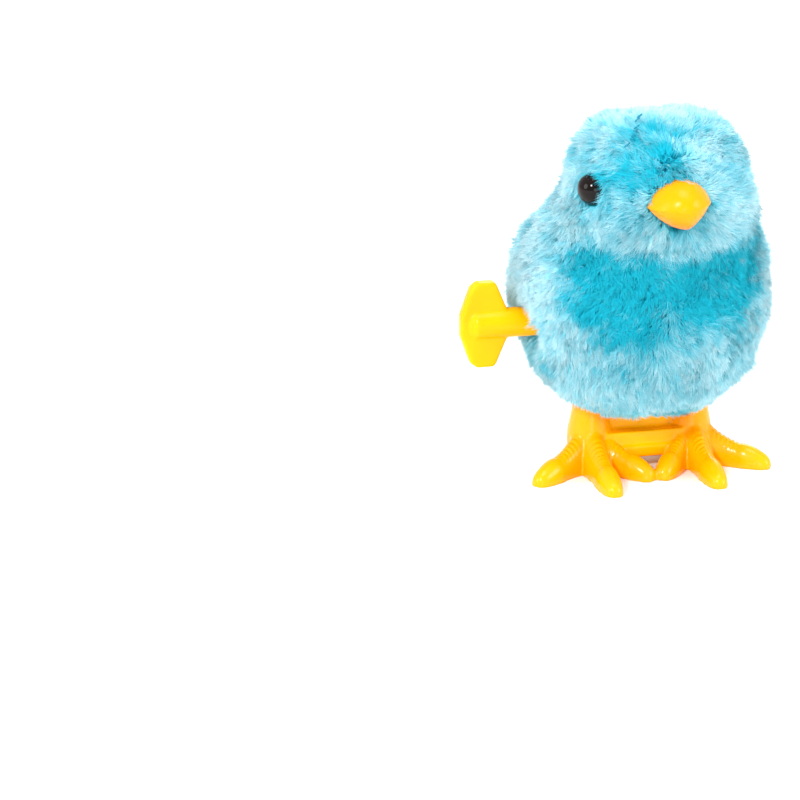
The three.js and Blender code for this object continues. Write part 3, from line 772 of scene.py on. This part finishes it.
def furry_area(points, triangles):
    """Twice each triangle's area, and 0 where the hem is turned in."""
    a, b, c = (points[triangles[:, k]] for k in range(3))
    area = np.linalg.norm(np.cross(b - a, c - a), axis=1)
    middle = (a + b + c) / 3
    half_x, half_y, y0 = OPENING
    inside = ((middle[:, 0] / (half_x + 0.3)) ** 2 + ((middle[:, 1] - y0) / (half_y + 0.3)) ** 2) < 1
    area[inside & (middle[:, 2] < HEM_INSIDE[1] + 0.5)] = 0
    return area


def sample_skin(skin, count):
    """Random points of the furry side of the skin, in millimetres, with its normals."""
    mesh = skin.data
    mesh.calc_loop_triangles()
    triangles = read_out(mesh.loop_triangles, "vertices", int)
    co = (read_out(mesh.vertices, "co") - np.array(ORIGIN)) / MM
    vertex_normals = read_out(mesh.vertex_normals, "vector")
    area = furry_area(co, triangles)
    chosen = rng.choice(len(area), count, p=area / area.sum())
    u, v = rng.random(count), rng.random(count)
    flip = u + v > 1
    u[flip], v[flip] = 1 - u[flip], 1 - v[flip]
    weights = np.stack([1 - u - v, u, v], 1)
    points = (co[triangles[chosen]] * weights[:, :, None]).sum(1)
    normals = (vertex_normals[triangles[chosen]] * weights[:, :, None]).sum(1)
    return points, normals / np.linalg.norm(normals, axis=1, keepdims=True)


# Patches of the pile: centre, radii, and the change of shade, of length and of lie in degrees; some
# shade changes are painted light and painted shade.
PATCHES = [
    # the darker chest under the cheeks, reaching up towards the key's side: the deeper colour of the
    # pressed pile, with painted shade under the overhanging cheeks
    ((-7.5, -20.0, 41.5), (19.0, 16.0, 13.5), -0.9, -1.2, 14),
    ((11.5, -18.0, 42.0), (13.0, 16.0, 13.0), -0.8, -1.1, 14),
    ((-17.5, -15.0, 46.0), (7.0, 9.0, 7.5), -0.6, -0.7, 8),
    # the belly below it, a little darker, and painted light that makes the left side paler
    ((-9.0, -22.0, 31.0), (14.0, 8.0, 6.5), -0.22, 0.0, 0),
    ((22.0, -10.0, 38.0), (7.0, 12.0, 14.0), 0.18, 0.0, 0),
    # the cheeks, full and pale
    ((-7.0, -21.0, 54.0), (12.0, 9.0, 4.6), 0.18, 0.7, -6),
    ((10.0, -21.0, 54.0), (11.0, 9.0, 4.6), 0.18, 0.7, -6),
    # the deep forehead
    ((-5.0, -19.0, 65.0), (12.0, 11.0, 8.5), -0.56, -0.3, 4),
    # crown and back of the head
    ((0.0, -4.0, 74.0), (22.0, 14.0, 7.0), 0.3, -0.4, 0),
    ((10.0, -8.0, 75.0), (8.0, 12.0, 5.0), 0.0, -0.8, 0),
    ((18.0, -10.0, 67.0), (9.0, 16.0, 12.0), 0.25, -0.6, 0),
    ((-18.0, -6.0, 67.0), (8.0, 16.0, 12.0), 0.25, -1.4, 0),
    # fringe over the top of the beak
    ((0.7, -22.0, 65.0), (5.5, 7.0, 3.2), 0.3, 0.5, -18),
    # the hem
    ((0.0, -18.0, 22.0), (24.0, 16.0, 9.0), 0.05, 0.0, 0),
    ((14.0, -4.0, 16.0), (9.0, 14.0, 7.0), 0.0, -1.0, 12),
    # painted light: the flanks drawn paler where the light falls on them
    ((-24.0, 0.0, 38.0), (9.0, 16.0, 17.0), 0.35, 0.1, 0),
    ((-22.0, 0.0, 54.0), (10.0, 16.0, 12.0), 0.25, 0.0, 0),
    ((26.0, 0.0, 38.0), (9.0, 18.0, 24.0), 0.3, 0.0, 0),
    # the back
    ((0.0, 24.0, 38.0), (24.0, 16.0, 34.0), -0.15, 0.0, 0),
]
# Partings where the deep roots show: centre and radius.
PARTINGS = [
    ((0.8, -17.5, 70.2), (3.4, 3.0, 1.6)),
    ((-1.8, -20.0, 67.2), (1.6, 3.0, 1.2)),
    ((1.2, -22.5, 64.4), (1.4, 2.5, 0.6)),
    ((6.4, -23.0, 54.2), (2.4, 3.0, 1.5)),
    ((6.8, -21.5, 44.5), (0.9, 3.0, 4.0)),
]


def comb_direction(points, normals):
    """The way the pile lies.

    It spreads from the beak over the face, runs back over the crown and hangs down elsewhere and
    just above the beak, all of it in swirls.
    """
    down = tangent(np.tile([0.0, 0.0, -1.0], (len(points), 1)), normals)
    spread = tangent(points - np.array(BEAK), normals)
    face = nearest_share(points, BEAK, FACE_RADII)[:, None]
    comb = tangent(down * (1 - face) + spread * face * 1.4, normals)
    over = tangent(np.tile([0.0, 1.0, 0.2], (len(points), 1)), normals)
    crown = smoothstep(CROWN_FROM, CROWN_TO, points[:, 2])[:, None]
    comb = tangent(comb * (1 - crown) + over * crown, normals)
    above = nearest_share(points, FRINGE, FRINGE_RADII)[:, None]
    comb = tangent(comb * (1 - above) + down * above, normals)
    across = np.cross(normals, comb)
    swirl = noise_field(points, 9.0, 1) * 0.8 + noise_field(points, 3.6, 2) * 0.5
    return turned_to(comb, across, swirl)


def pile_settings(points):
    """Shade, length and lie of the pile at each point; some patches and the strip round the key paint
    light and shade into its colour.
    """
    shade = BASE_SHADE + 0.22 * noise_field(points, 6.0, 3) + 0.22 * noise_field(points, 2.0, 4)
    length = STRAND_LENGTH + 0.6 * noise_field(points, 5.0, 5)
    lie = BASE_LIE + 11 * noise_field(points, 4.4, 6)
    ragged = points + np.stack([noise_field(points, 5.0, k) for k in (7, 8, 9)], 1) * 2.2
    for centre, radii, shade_by, length_by, lie_by in PATCHES:
        share = nearest_share(ragged, centre, radii)
        shade += share * shade_by
        length += share * length_by
        lie += share * lie_by
    for centre, radii in PARTINGS:
        share = nearest_share(points, centre, np.array(radii) * 1.3)
        shade -= share * 0.6
        length -= share * 0.3
    low = 1 - smoothstep(BODY_LEVELS[0][0] + 1, HEM_TOP - 2, points[:, 2])
    length -= low * 2.0
    lie += low * 28
    near_key = (points[:, 0] < KEY_SIDE) * key_dent(points[:, 1], points[:, 2], -1.0) / KEY_DENT
    length -= near_key * 2.2
    # painted light: the pile round the key is made paler to lift the shadow of the dent above the stem
    shade += near_key * 0.3
    return shade, length, np.radians(np.clip(lie, *LIE_RANGE))


def keep_clear(points):
    """False for roots under the eyes, the beak and the key."""
    keep = np.ones(len(points), bool)
    for x, y, z in EYE_SPOTS.values():
        eye = np.array([x + LEAN_HIGH, y, z])
        away = points - eye
        towards_beak = away[:, 0] * math.copysign(1, x) < 0
        clear = EYE_RADIUS + np.where(towards_beak, EYE_CLEAR_INSIDE, EYE_CLEAR)
        keep &= np.linalg.norm(away, axis=1) > clear
    wide = np.abs(points[:, 0] - BEAK.x) / (BEAK_HALF_WIDTH - 0.7)
    tall = np.abs(points[:, 2] - BEAK.z) / (BEAK_HALF_HEIGHT - 0.1)
    fullness = np.where(points[:, 2] > BEAK.z, 1.8, 1.3)
    keep &= (wide**fullness + tall > 1) | (points[:, 1] > -10)
    from_key = np.hypot(points[:, 1] - KEY_Y, points[:, 2] - KEY_Z)
    keep &= (from_key > STEM_RADIUS + KEY_CLEAR) | (points[:, 0] > KEY_SIDE)
    return keep


def nearest_of(centres, points):
    """The number of the centre nearest to each point."""
    tree = KDTree(len(centres))
    for i, centre in enumerate(centres):
        tree.insert(centre, i)
    tree.balance()
    return np.array([tree.find(p)[1] for p in points])


def grow_strands(skin):
    """Root, middle, tip, normal and shade of every strand, gathered into tufts."""
    clump_at, _ = sample_skin(skin, CLUMPS)
    clump_turn = rng.normal(0, 0.42, CLUMPS)
    clump_lie = rng.normal(0, 0.16, CLUMPS)
    clump_length = rng.normal(1, 0.1, CLUMPS)
    clump_shade = rng.normal(0, 0.13, CLUMPS)
    root, normal = sample_skin(skin, STRANDS)
    keep = keep_clear(root)
    root, normal = root[keep], normal[keep]
    clump = nearest_of(clump_at, root)
    shade, length, lie = pile_settings(root)
    comb = comb_direction(root, normal)
    turn = clump_turn[clump] + rng.normal(0, 0.35, len(root))
    comb = turned_to(comb, np.cross(normal, comb), turn)
    lie = lie + clump_lie[clump] + rng.normal(0, 0.12, len(root))
    length = length * clump_length[clump] * rng.uniform(0.78, 1.12, len(root))
    shade = shade + clump_shade[clump] + rng.normal(0, 0.09, len(root))
    half_length = (length * 0.5)[:, None]
    middle = root + turned_to(normal, comb, np.maximum(lie - 0.3, 0.05)) * half_length
    tip = middle + turned_to(normal, comb, lie + 0.28) * half_length
    offset = clump_at[clump] - root
    offset -= (offset * normal).sum(1, keepdims=True) * normal
    middle += offset * 0.12
    tip += offset * 0.34
    return root, middle, tip, normal, np.clip(shade, 0.02, 0.98)


def strand_points(root, middle, tip, normal):
    """Five points of each fibre: root, three round its middle and tip, with their normals.

    The normals lean towards the skin's own, so that the pile is lit softly as one surface.
    """
    count = len(root)
    along = middle - root
    along /= np.linalg.norm(along, axis=1, keepdims=True)
    side = np.cross(along, normal + 0.01)
    side /= np.maximum(np.linalg.norm(side, axis=1, keepdims=True), 1e-6)
    other = np.cross(along, side)
    roll = rng.uniform(0, 2 * math.pi, count)
    points = np.empty((count, 5, 3))
    normals = np.empty((count, 5, 3))
    for k in range(3):
        angle = (roll + k * 2 * math.pi / 3)[:, None]
        out = side * np.cos(angle) + other * np.sin(angle)
        points[:, 1 + k] = middle + out * STRAND_WIDTH * 0.5
        normals[:, 1 + k] = normal + out * 0.35
    points[:, 0] = root
    points[:, 4] = tip
    normals[:, 0] = normal
    normals[:, 4] = normal + 0.25 * (tip - middle) / np.linalg.norm(tip - middle, axis=1)[:, None]
    return points, normals / np.linalg.norm(normals, axis=2, keepdims=True)


def strand_uv(shade):
    """UV of each fibre's five points: its shade across and the distance from its root up."""
    level = np.array([0.02, 0.55, 0.55, 0.55, 0.98])
    spread = np.array([0.0, -0.012, 0.0, 0.012, 0.0])
    u = np.clip(shade[:, None] + spread[None], 0.005, 0.995)
    return np.stack([u, np.broadcast_to(level, (len(shade), 5))], 2).reshape(-1, 2)


def strand_mesh(name, root, middle, tip, normal, shade):
    """Fine three-sided fibres as one mesh."""
    count = len(root)
    points, normals = strand_points(root, middle, tip, normal)
    pattern = [(0, 2, 1), (0, 3, 2), (0, 1, 3), (1, 2, 4), (2, 3, 4), (3, 1, 4)]
    corners = (np.arange(count)[:, None, None] * 5 + np.array(pattern)[None]).reshape(-1)
    mesh = bpy.data.meshes.new(name)
    mesh.vertices.add(count * 5)
    mesh.vertices.foreach_set("co", (points * MM + np.array(ORIGIN)).ravel())
    mesh.loops.add(len(corners))
    mesh.loops.foreach_set("vertex_index", corners.astype(np.int32))
    mesh.polygons.add(len(corners) // 3)
    mesh.polygons.foreach_set("loop_start", np.arange(0, len(corners), 3, dtype=np.int32))
    mesh.update(calc_edges=True)
    mesh.shade_smooth()
    mesh.normals_split_custom_set_from_vertices(normals.reshape(-1, 3).tolist())
    layer = mesh.uv_layers.new(name="OFBake")
    layer.data.foreach_set("uv", strand_uv(shade)[corners].ravel())
    return link(name, mesh)


def fur_zones(root):
    """The name of the piece of fur that each root belongs to."""
    front = root[:, 1] < np.where(root[:, 2] > 50, -8.0, 0.0)
    level = np.digitize(root[:, 2], ZONE_HEIGHTS)
    side = root[:, 0] < LEAN_LOW
    return np.array([
        f"fur_{ZONES[i]}_{'front' if f else 'back'}_{'right' if r else 'left'}"
        for i, f, r in zip(level, front, side)
    ])


def plush_fur(skin):
    """The whole pile, as one piece for each zone."""
    root, middle, tip, normal, shade = grow_strands(skin)
    zone = fur_zones(root)
    fibre = fur_material()
    pieces = []
    for name in sorted(set(zone)):
        these = zone == name
        piece = strand_mesh(
            name, root[these], middle[these], tip[these], normal[these], shade[these]
        )
        pieces.append(paint(piece, fibre))
    return pieces


# Places of the stitches that show through the pile along the seam over the head.
STITCHES = [
    (-4.7, -12.7, 74.2),
    (-5.6, -14.1, 73.8),
    (-6.3, -16.1, 72.9),
    (-6.9, -17.1, 72.4),
    (-7.4, -18.0, 71.9),
    (-9.3, -20.0, 70.5),
]
STITCH_PROFILE = [(-0.75, 0.05), (-0.6, 0.15), (0.0, 0.2), (0.6, 0.15), (0.75, 0.05)]
STITCH_LIE = Vector((0.72, 0.25, 0.42)).normalized()


def seam_stitches():
    """Short slanting stitches of thicker thread."""
    turn = STITCH_LIE.to_track_quat("Z", "X").to_matrix().to_4x4()
    things = []
    for spot in STITCHES:
        things.append(turned("stitch", STITCH_PROFILE, Matrix.Translation(place(spot)) @ turn, 10))
    return shade_smooth(joined("crown_stitches", things))


# ---- Face ----


def eye_matrix(spot):
    """A matrix that sets a body turned about Z on the head, facing outwards."""
    centre = Vector(spot)
    normal = (centre - EYE_CENTRE).normalized()
    centre.x += LEAN_HIGH
    turn = Vector((0, 0, 1)).rotation_difference(normal)
    return Matrix.Translation(place(centre)) @ turn.to_matrix().to_4x4()


def eye_bead(name, spot):
    """A domed bead with a rolled rim on a short shank."""
    r = EYE_RADIUS
    shank = [(-5.6, 0.5), (-5.4, 0.85), (-0.7, 0.9)]
    rim = [(-0.65, r * 0.82), (-0.45, r * 0.95)]
    angles = np.linspace(0, math.pi / 2 - 0.02, 14)
    dome = [(EYE_DOME * math.sin(a), r * math.cos(a)) for a in angles]
    profile = [*shank, *rim, *dome]
    return shade_smooth(turned(name, profile, eye_matrix(spot)))


# Side, reach, height, fullness and sideways set of the upper and the lower half of the beak.
JAWS = [(1, 1.0, 1.12, 2.4, 0.0), (-1, 0.94, 1.06, 1.5, 0.2)]


def beak_ring(forward):
    """The beak's outline at a share of its length."""
    shrink = (1 - forward**2) ** 0.55
    half = BEAK_HALF_WIDTH * shrink
    y = BEAK.y - BEAK_LENGTH * forward
    ring = []
    for jaw, reach, height, fullness, skew in JAWS:
        for u in np.cos(np.linspace(0, math.pi, 33)) * jaw:
            rise = jaw * (0.02 + height * BEAK_HALF_HEIGHT * shrink * (1 - abs(u) ** fullness) ** 0.83)
            x = half * (reach * u + skew * (1 - abs(u)))
            ring.append((BEAK.x + x, y, BEAK.z + 0.3 * forward + rise + BEAK_ROLL * x))
    return ring


def beak_body():
    """Two mandibles in one moulding: a diamond front with a step along the mouth, and a shank."""
    base = [
        (BEAK.x + (x - BEAK.x) * 0.86, BEAK.y + 0.9, BEAK.z + (z - BEAK.z) * 0.86)
        for x, _, z in beak_ring(0.0)
    ]
    rings = [base] + [beak_ring(t) for t in np.linspace(0, 0.99, 30)]
    body = closed_loft("beak_body", rings)
    shank = turned(
        "shank",
        [(-5.2, 1.1), (-4.8, 1.4), (1.0, 1.4)],
        Matrix.Translation(place(BEAK)) @ Matrix.Rotation(math.pi / 2, 4, "X"),
        24,
    )
    return shade_smooth(fused(joined("beak_moulding", [body, shank]), BEAK_VOXEL, 7))


# ---- Key ----


def along_x(at_y, at_z):
    """A matrix that lays a body turned about Z along X, through (y, z)."""
    return Matrix.Translation(place((0, at_y, at_z))) @ Matrix.Rotation(math.pi / 2, 4, "Y")


def key_stem():
    """The round stem, which runs on over the bow and is bored for the arbor."""
    profile = [
        (SHOULDER - 7.2, 1.4),
        (SHOULDER - 6.8, 2.4),
        (SHOULDER - 5.9, STEM_RADIUS),
        (STEM_FROM - 0.4, STEM_RADIUS),
        (STEM_FROM, STEM_RADIUS - 0.35),
        (STEM_FROM, BORE_RADIUS),
        (BORE_END, BORE_RADIUS),
    ]
    return turned("stem", profile, along_x(KEY_Y, KEY_Z))


def key_bow():
    """The flat bow, bevelled all round."""
    outline = BOW_WING + [(x, -z) for x, z in reversed(BOW_WING)]
    edge = BOW_THICKNESS / 2
    bevel = [(0.5, edge), (0.15, edge - 0.15), (0.0, edge - 0.5)]
    steps = [(inset, -y) for inset, y in bevel] + bevel[::-1]
    rings = []
    for inset, y in steps:
        ring = []
        for x, z in outline:
            inward = math.copysign(inset, BOW_MIDDLE - x)
            ring.append((SHOULDER + x + inward, KEY_Y + y, KEY_Z + z - math.copysign(inset, z)))
        rings.append(ring)
    return closed_loft("bow", rings)


def key_moulding():
    """Stem and bow, fused with small fillets."""
    return shade_smooth(fused(joined("key_moulding", [key_stem(), key_bow()]), KEY_VOXEL, 3))


# ---- Feet ----


def toe_section(share):
    """Half width and height of a toe at a share of its length."""
    stations = [s[0] for s in TOE_STATIONS]
    at = np.interp(share, stations, np.linspace(0, 1, len(stations)))
    _, half, height = catmull(TOE_STATIONS, float(at))
    return half, height


def ridge_at(share):
    """Height of the scale ridges across a toe, which run from the ankle to the knuckle."""
    if not RIDGES_FROM < share < RIDGES_TO:
        return 0.0
    along = (share - RIDGES_FROM) / (RIDGES_TO - RIDGES_FROM)
    phase = along * TOE_RIDGES
    edge = math.sin(math.pi * along) ** 0.5
    return RIDGE_HEIGHT * edge * (1 - abs(2 * (phase % 1) - 1))


def toe(name, plan, side):
    """A half-round toe with scale ridges, a knuckle and a blunt claw, flat underneath."""
    root, tip = (Vector((side * x, y)) for x, y in plan)
    along = tip - root
    across = Vector((-along.y, along.x)).normalized()
    rings = []
    for share in np.linspace(0, 1, 90):
        half, height = toe_section(share)
        middle = root + along * share
        ring = []
        for i in range(25):
            angle = math.pi * i / 24
            top = max(0.0, math.sin(angle)) ** 2.5
            out = half * math.cos(angle)
            z = height * math.sin(angle) ** 0.8 + ridge_at(share) * top
            ring.append((middle.x + across.x * out, middle.y + across.y * out, z))
        rings.append(ring)
    return closed_loft(name, rings)


def shin(side):
    """The shin and its ankle, oval all the way up."""
    rings = []
    for share in np.linspace(0, 1, 24):
        z, half_x, half_y = catmull(SHIN_LEVELS, share)
        ring = []
        for i in range(40):
            x, y = rounded(2 * math.pi * i / 40, half_x, half_y, 2)
            ring.append((side * ANKLE.x + x, ANKLE.y + y, max(z, 0)))
        rings.append(ring)
    return closed_loft("shin", rings)


def box_body(x0, x1, y0, y1, z0, z1):
    """A plain box between two corners."""
    corners = [(x0, y0), (x1, y0), (x1, y1), (x0, y1)]
    return closed_loft("box", [[(x, y, z) for x, y in corners] for z in (z0, z1)])


def feet_moulding():
    """Both feet and the bridge between them, fused into one moulding."""
    b = BRIDGE
    things = [
        box_body(-b["half"], b["half"], b["front"], b["back"], b["bottom"], b["top"]),
        box_body(-b["half"], b["half"], b["front"] - b["lip"], b["back"], b["bottom"], b["step"]),
        box_body(-b["half"], b["half"], b["wall"], b["back"], b["top"] - 0.5, b["wall_top"]),
    ]
    for side in (-1, 1):
        things.append(shin(side))
        for name, plan in TOES.items():
            things.append(toe(name, plan, side))
    whole = fused(joined("feet_moulding", things), FOOT_VOXEL, 2)
    lowest = min(v.co.z for v in whole.data.vertices)
    whole.data.transform(Matrix.Translation((0, 0, -lowest)))
    return shade_smooth(whole)


def rocker_arm():
    """The slotted arm that rises from the bridge into the gearbox, cut from the CAD feet."""
    arm = bmesh.new()
    arm.from_mesh(frame["nodes"]["feet"].data)
    planes = [
        (place((0, 0, BRIDGE["wall_top"] - 0.6)), Vector((0, 0, 1))),
        (place((-ARM_HALF, 0, 0)), Vector((1, 0, 0))),
        (place((ARM_HALF, 0, 0)), Vector((-1, 0, 0))),
    ]
    for point, normal in planes:
        everything = arm.verts[:] + arm.edges[:] + arm.faces[:]
        bmesh.ops.bisect_plane(arm, geom=everything, plane_co=point, plane_no=normal, clear_inner=True)
        edges = [e for e in arm.edges if e.is_boundary]
        bmesh.ops.holes_fill(arm, edges=edges)
    mesh = bpy.data.meshes.new("rocker_arm")
    arm.to_mesh(mesh)
    arm.free()
    return link("rocker_arm", mesh)


# ---- Filling ----


def filling():
    """The fibre wad: the CAD solid drawn in a little and made lumpy."""
    wad = link("fibre_wad", frame["nodes"]["stuffing"].data.copy())
    add_remesh(wad, WAD_VOXEL)
    apply_modifiers(wad)
    mesh = wad.data
    normals = [Vector(v.normal) for v in mesh.vertices]
    middle = ORIGIN.y / MM
    for vertex, normal in zip(mesh.vertices, normals):
        lump = noise.noise(vertex.co / (4 * MM)) + 0.5 * noise.noise(vertex.co / (1.6 * MM))
        vertex.co -= normal * (WAD_INSET + WAD_LUMPS * lump) * MM
        if vertex.co.x < ORIGIN.x:
            dent = float(key_dent(vertex.co.y / MM - middle, vertex.co.z / MM, 1.5))
            vertex.co.x += 1.15 * dent * MM
    return shade_smooth(wad)


# ---- Camera, light and floor ----


def photo_camera():
    """The view from the chick's right front, a little above and far off."""
    azimuth, elevation = math.radians(AZIMUTH), math.radians(ELEVATION)
    back = Vector((
        math.sin(azimuth) * math.cos(elevation),
        -math.cos(azimuth) * math.cos(elevation),
        math.sin(elevation),
    ))
    right = Vector((math.cos(azimuth), math.sin(azimuth), 0))
    up = back.cross(right)
    data = bpy.data.cameras.new("camera")
    data.lens = LENS
    data.sensor_width = SENSOR
    camera = link("camera", data)
    aside, raised = CAMERA_SHIFT
    camera.location = CAMERA_TARGET + back * CAMERA_DISTANCE + right * aside + up * raised
    camera.rotation_mode = "QUATERNION"
    camera.rotation_quaternion = Matrix((right, up, back)).transposed().to_quaternion()
    bpy.context.scene.camera = camera


def softbox(name, place_at, aim, size, power):
    """A round area light that faces a point."""
    data = bpy.data.lights.new(name, "AREA")
    data.shape = "DISK"
    data.size = size
    data.energy = power
    lamp = link(name, data)
    lamp.location = place_at
    lamp.rotation_mode = "QUATERNION"
    lamp.rotation_quaternion = (Vector(aim) - Vector(place_at)).to_track_quat("-Z", "Y")


def studio():
    """White surroundings, softboxes all round and a pale floor."""
    world = bpy.data.worlds.new("studio")
    bpy.context.scene.world = world
    world.use_nodes = True
    backdrop = world.node_tree.nodes["Background"]
    backdrop.inputs["Color"].default_value = (1, 1, 1, 1)
    backdrop.inputs["Strength"].default_value = SURROUND
    for light in SOFTBOXES:
        softbox(*light)
    n = Nodes("floor_paper")
    n.join(n.ramp(n.noise(6, 2), [(0.3, (0.9, 0.9, 0.9)), (0.7, (0.94, 0.94, 0.94))]),
           n.shader.inputs["Base Color"])
    n.set(Roughness=0.9)
    h = FLOOR_HALF
    floor = mesh_object("floor", [(-h, -h, 0), (h, -h, 0), (h, h, 0), (-h, h, 0)], [(0, 1, 2, 3)])
    paint(floor, n.material)
    bpy.context.scene.view_settings.view_transform = "Standard"


# ---- Assembly ----


def add_plush():
    skin = plush_skin()
    paint(skin, backing_material())
    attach(skin, "chick")
    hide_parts("plush_cover")
    for piece in plush_fur(skin):
        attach(piece, "chick")
    stitches = paint(seam_stitches(), thread_material())
    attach(stitches, "chick")
    wad = paint(filling(), fill_material())
    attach(wad, "chick")
    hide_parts("stuffing")


def add_face():
    bead = bead_material()
    for name, spot in EYE_SPOTS.items():
        eye = paint(eye_bead(f"bead_{name}", spot), bead)
        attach(eye, "chick")
        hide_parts(f"eye_{name}")
    beak = paint(beak_body(), beak_material())
    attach(beak, "chick")
    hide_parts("beak")


def add_key():
    yellow = plastic_material(
        "key_plastic", linear(250, 166, 0), linear(250, 171, 0), linear(250, 176, 0)
    )
    key = paint(key_moulding(), yellow)
    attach(key, "winding")
    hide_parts("winding_key")


def add_feet():
    amber = feet_material()
    feet = paint(feet_moulding(), amber)
    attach(feet, "feet")
    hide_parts("feet")
    arm = paint(rocker_arm(), amber)
    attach(arm, "feet")


def finish_motor():
    """Finishes for the CAD pieces inside, which keep their shapes."""
    case = plastic_material(
        "case_plastic", linear(250, 165, 0), linear(255, 182, 4), linear(255, 194, 20)
    )
    white = plastic_material(
        "gear_plastic", linear(226, 224, 214), linear(238, 237, 230), linear(248, 247, 242)
    )
    wire = steel_material("steel_wire", (0.3, 0.31, 0.33), (0.6, 0.61, 0.63))
    blued = steel_material("spring_strip", (0.1, 0.11, 0.14), (0.24, 0.26, 0.31))
    looks = {"gearbox": case, "washer": white, "gear": white, "mainspring": blued}
    for name, node in frame["nodes"].items():
        if node.hide_render:
            continue
        look = next((m for word, m in looks.items() if word in name), wire)
        if "screw" in name:
            look = wire
        node.data.materials.clear()
        node.data.materials.append(look)


def main():
    photo_camera()
    studio()
    add_plush()
    add_face()
    add_key()
    add_feet()
    finish_motor()


main()
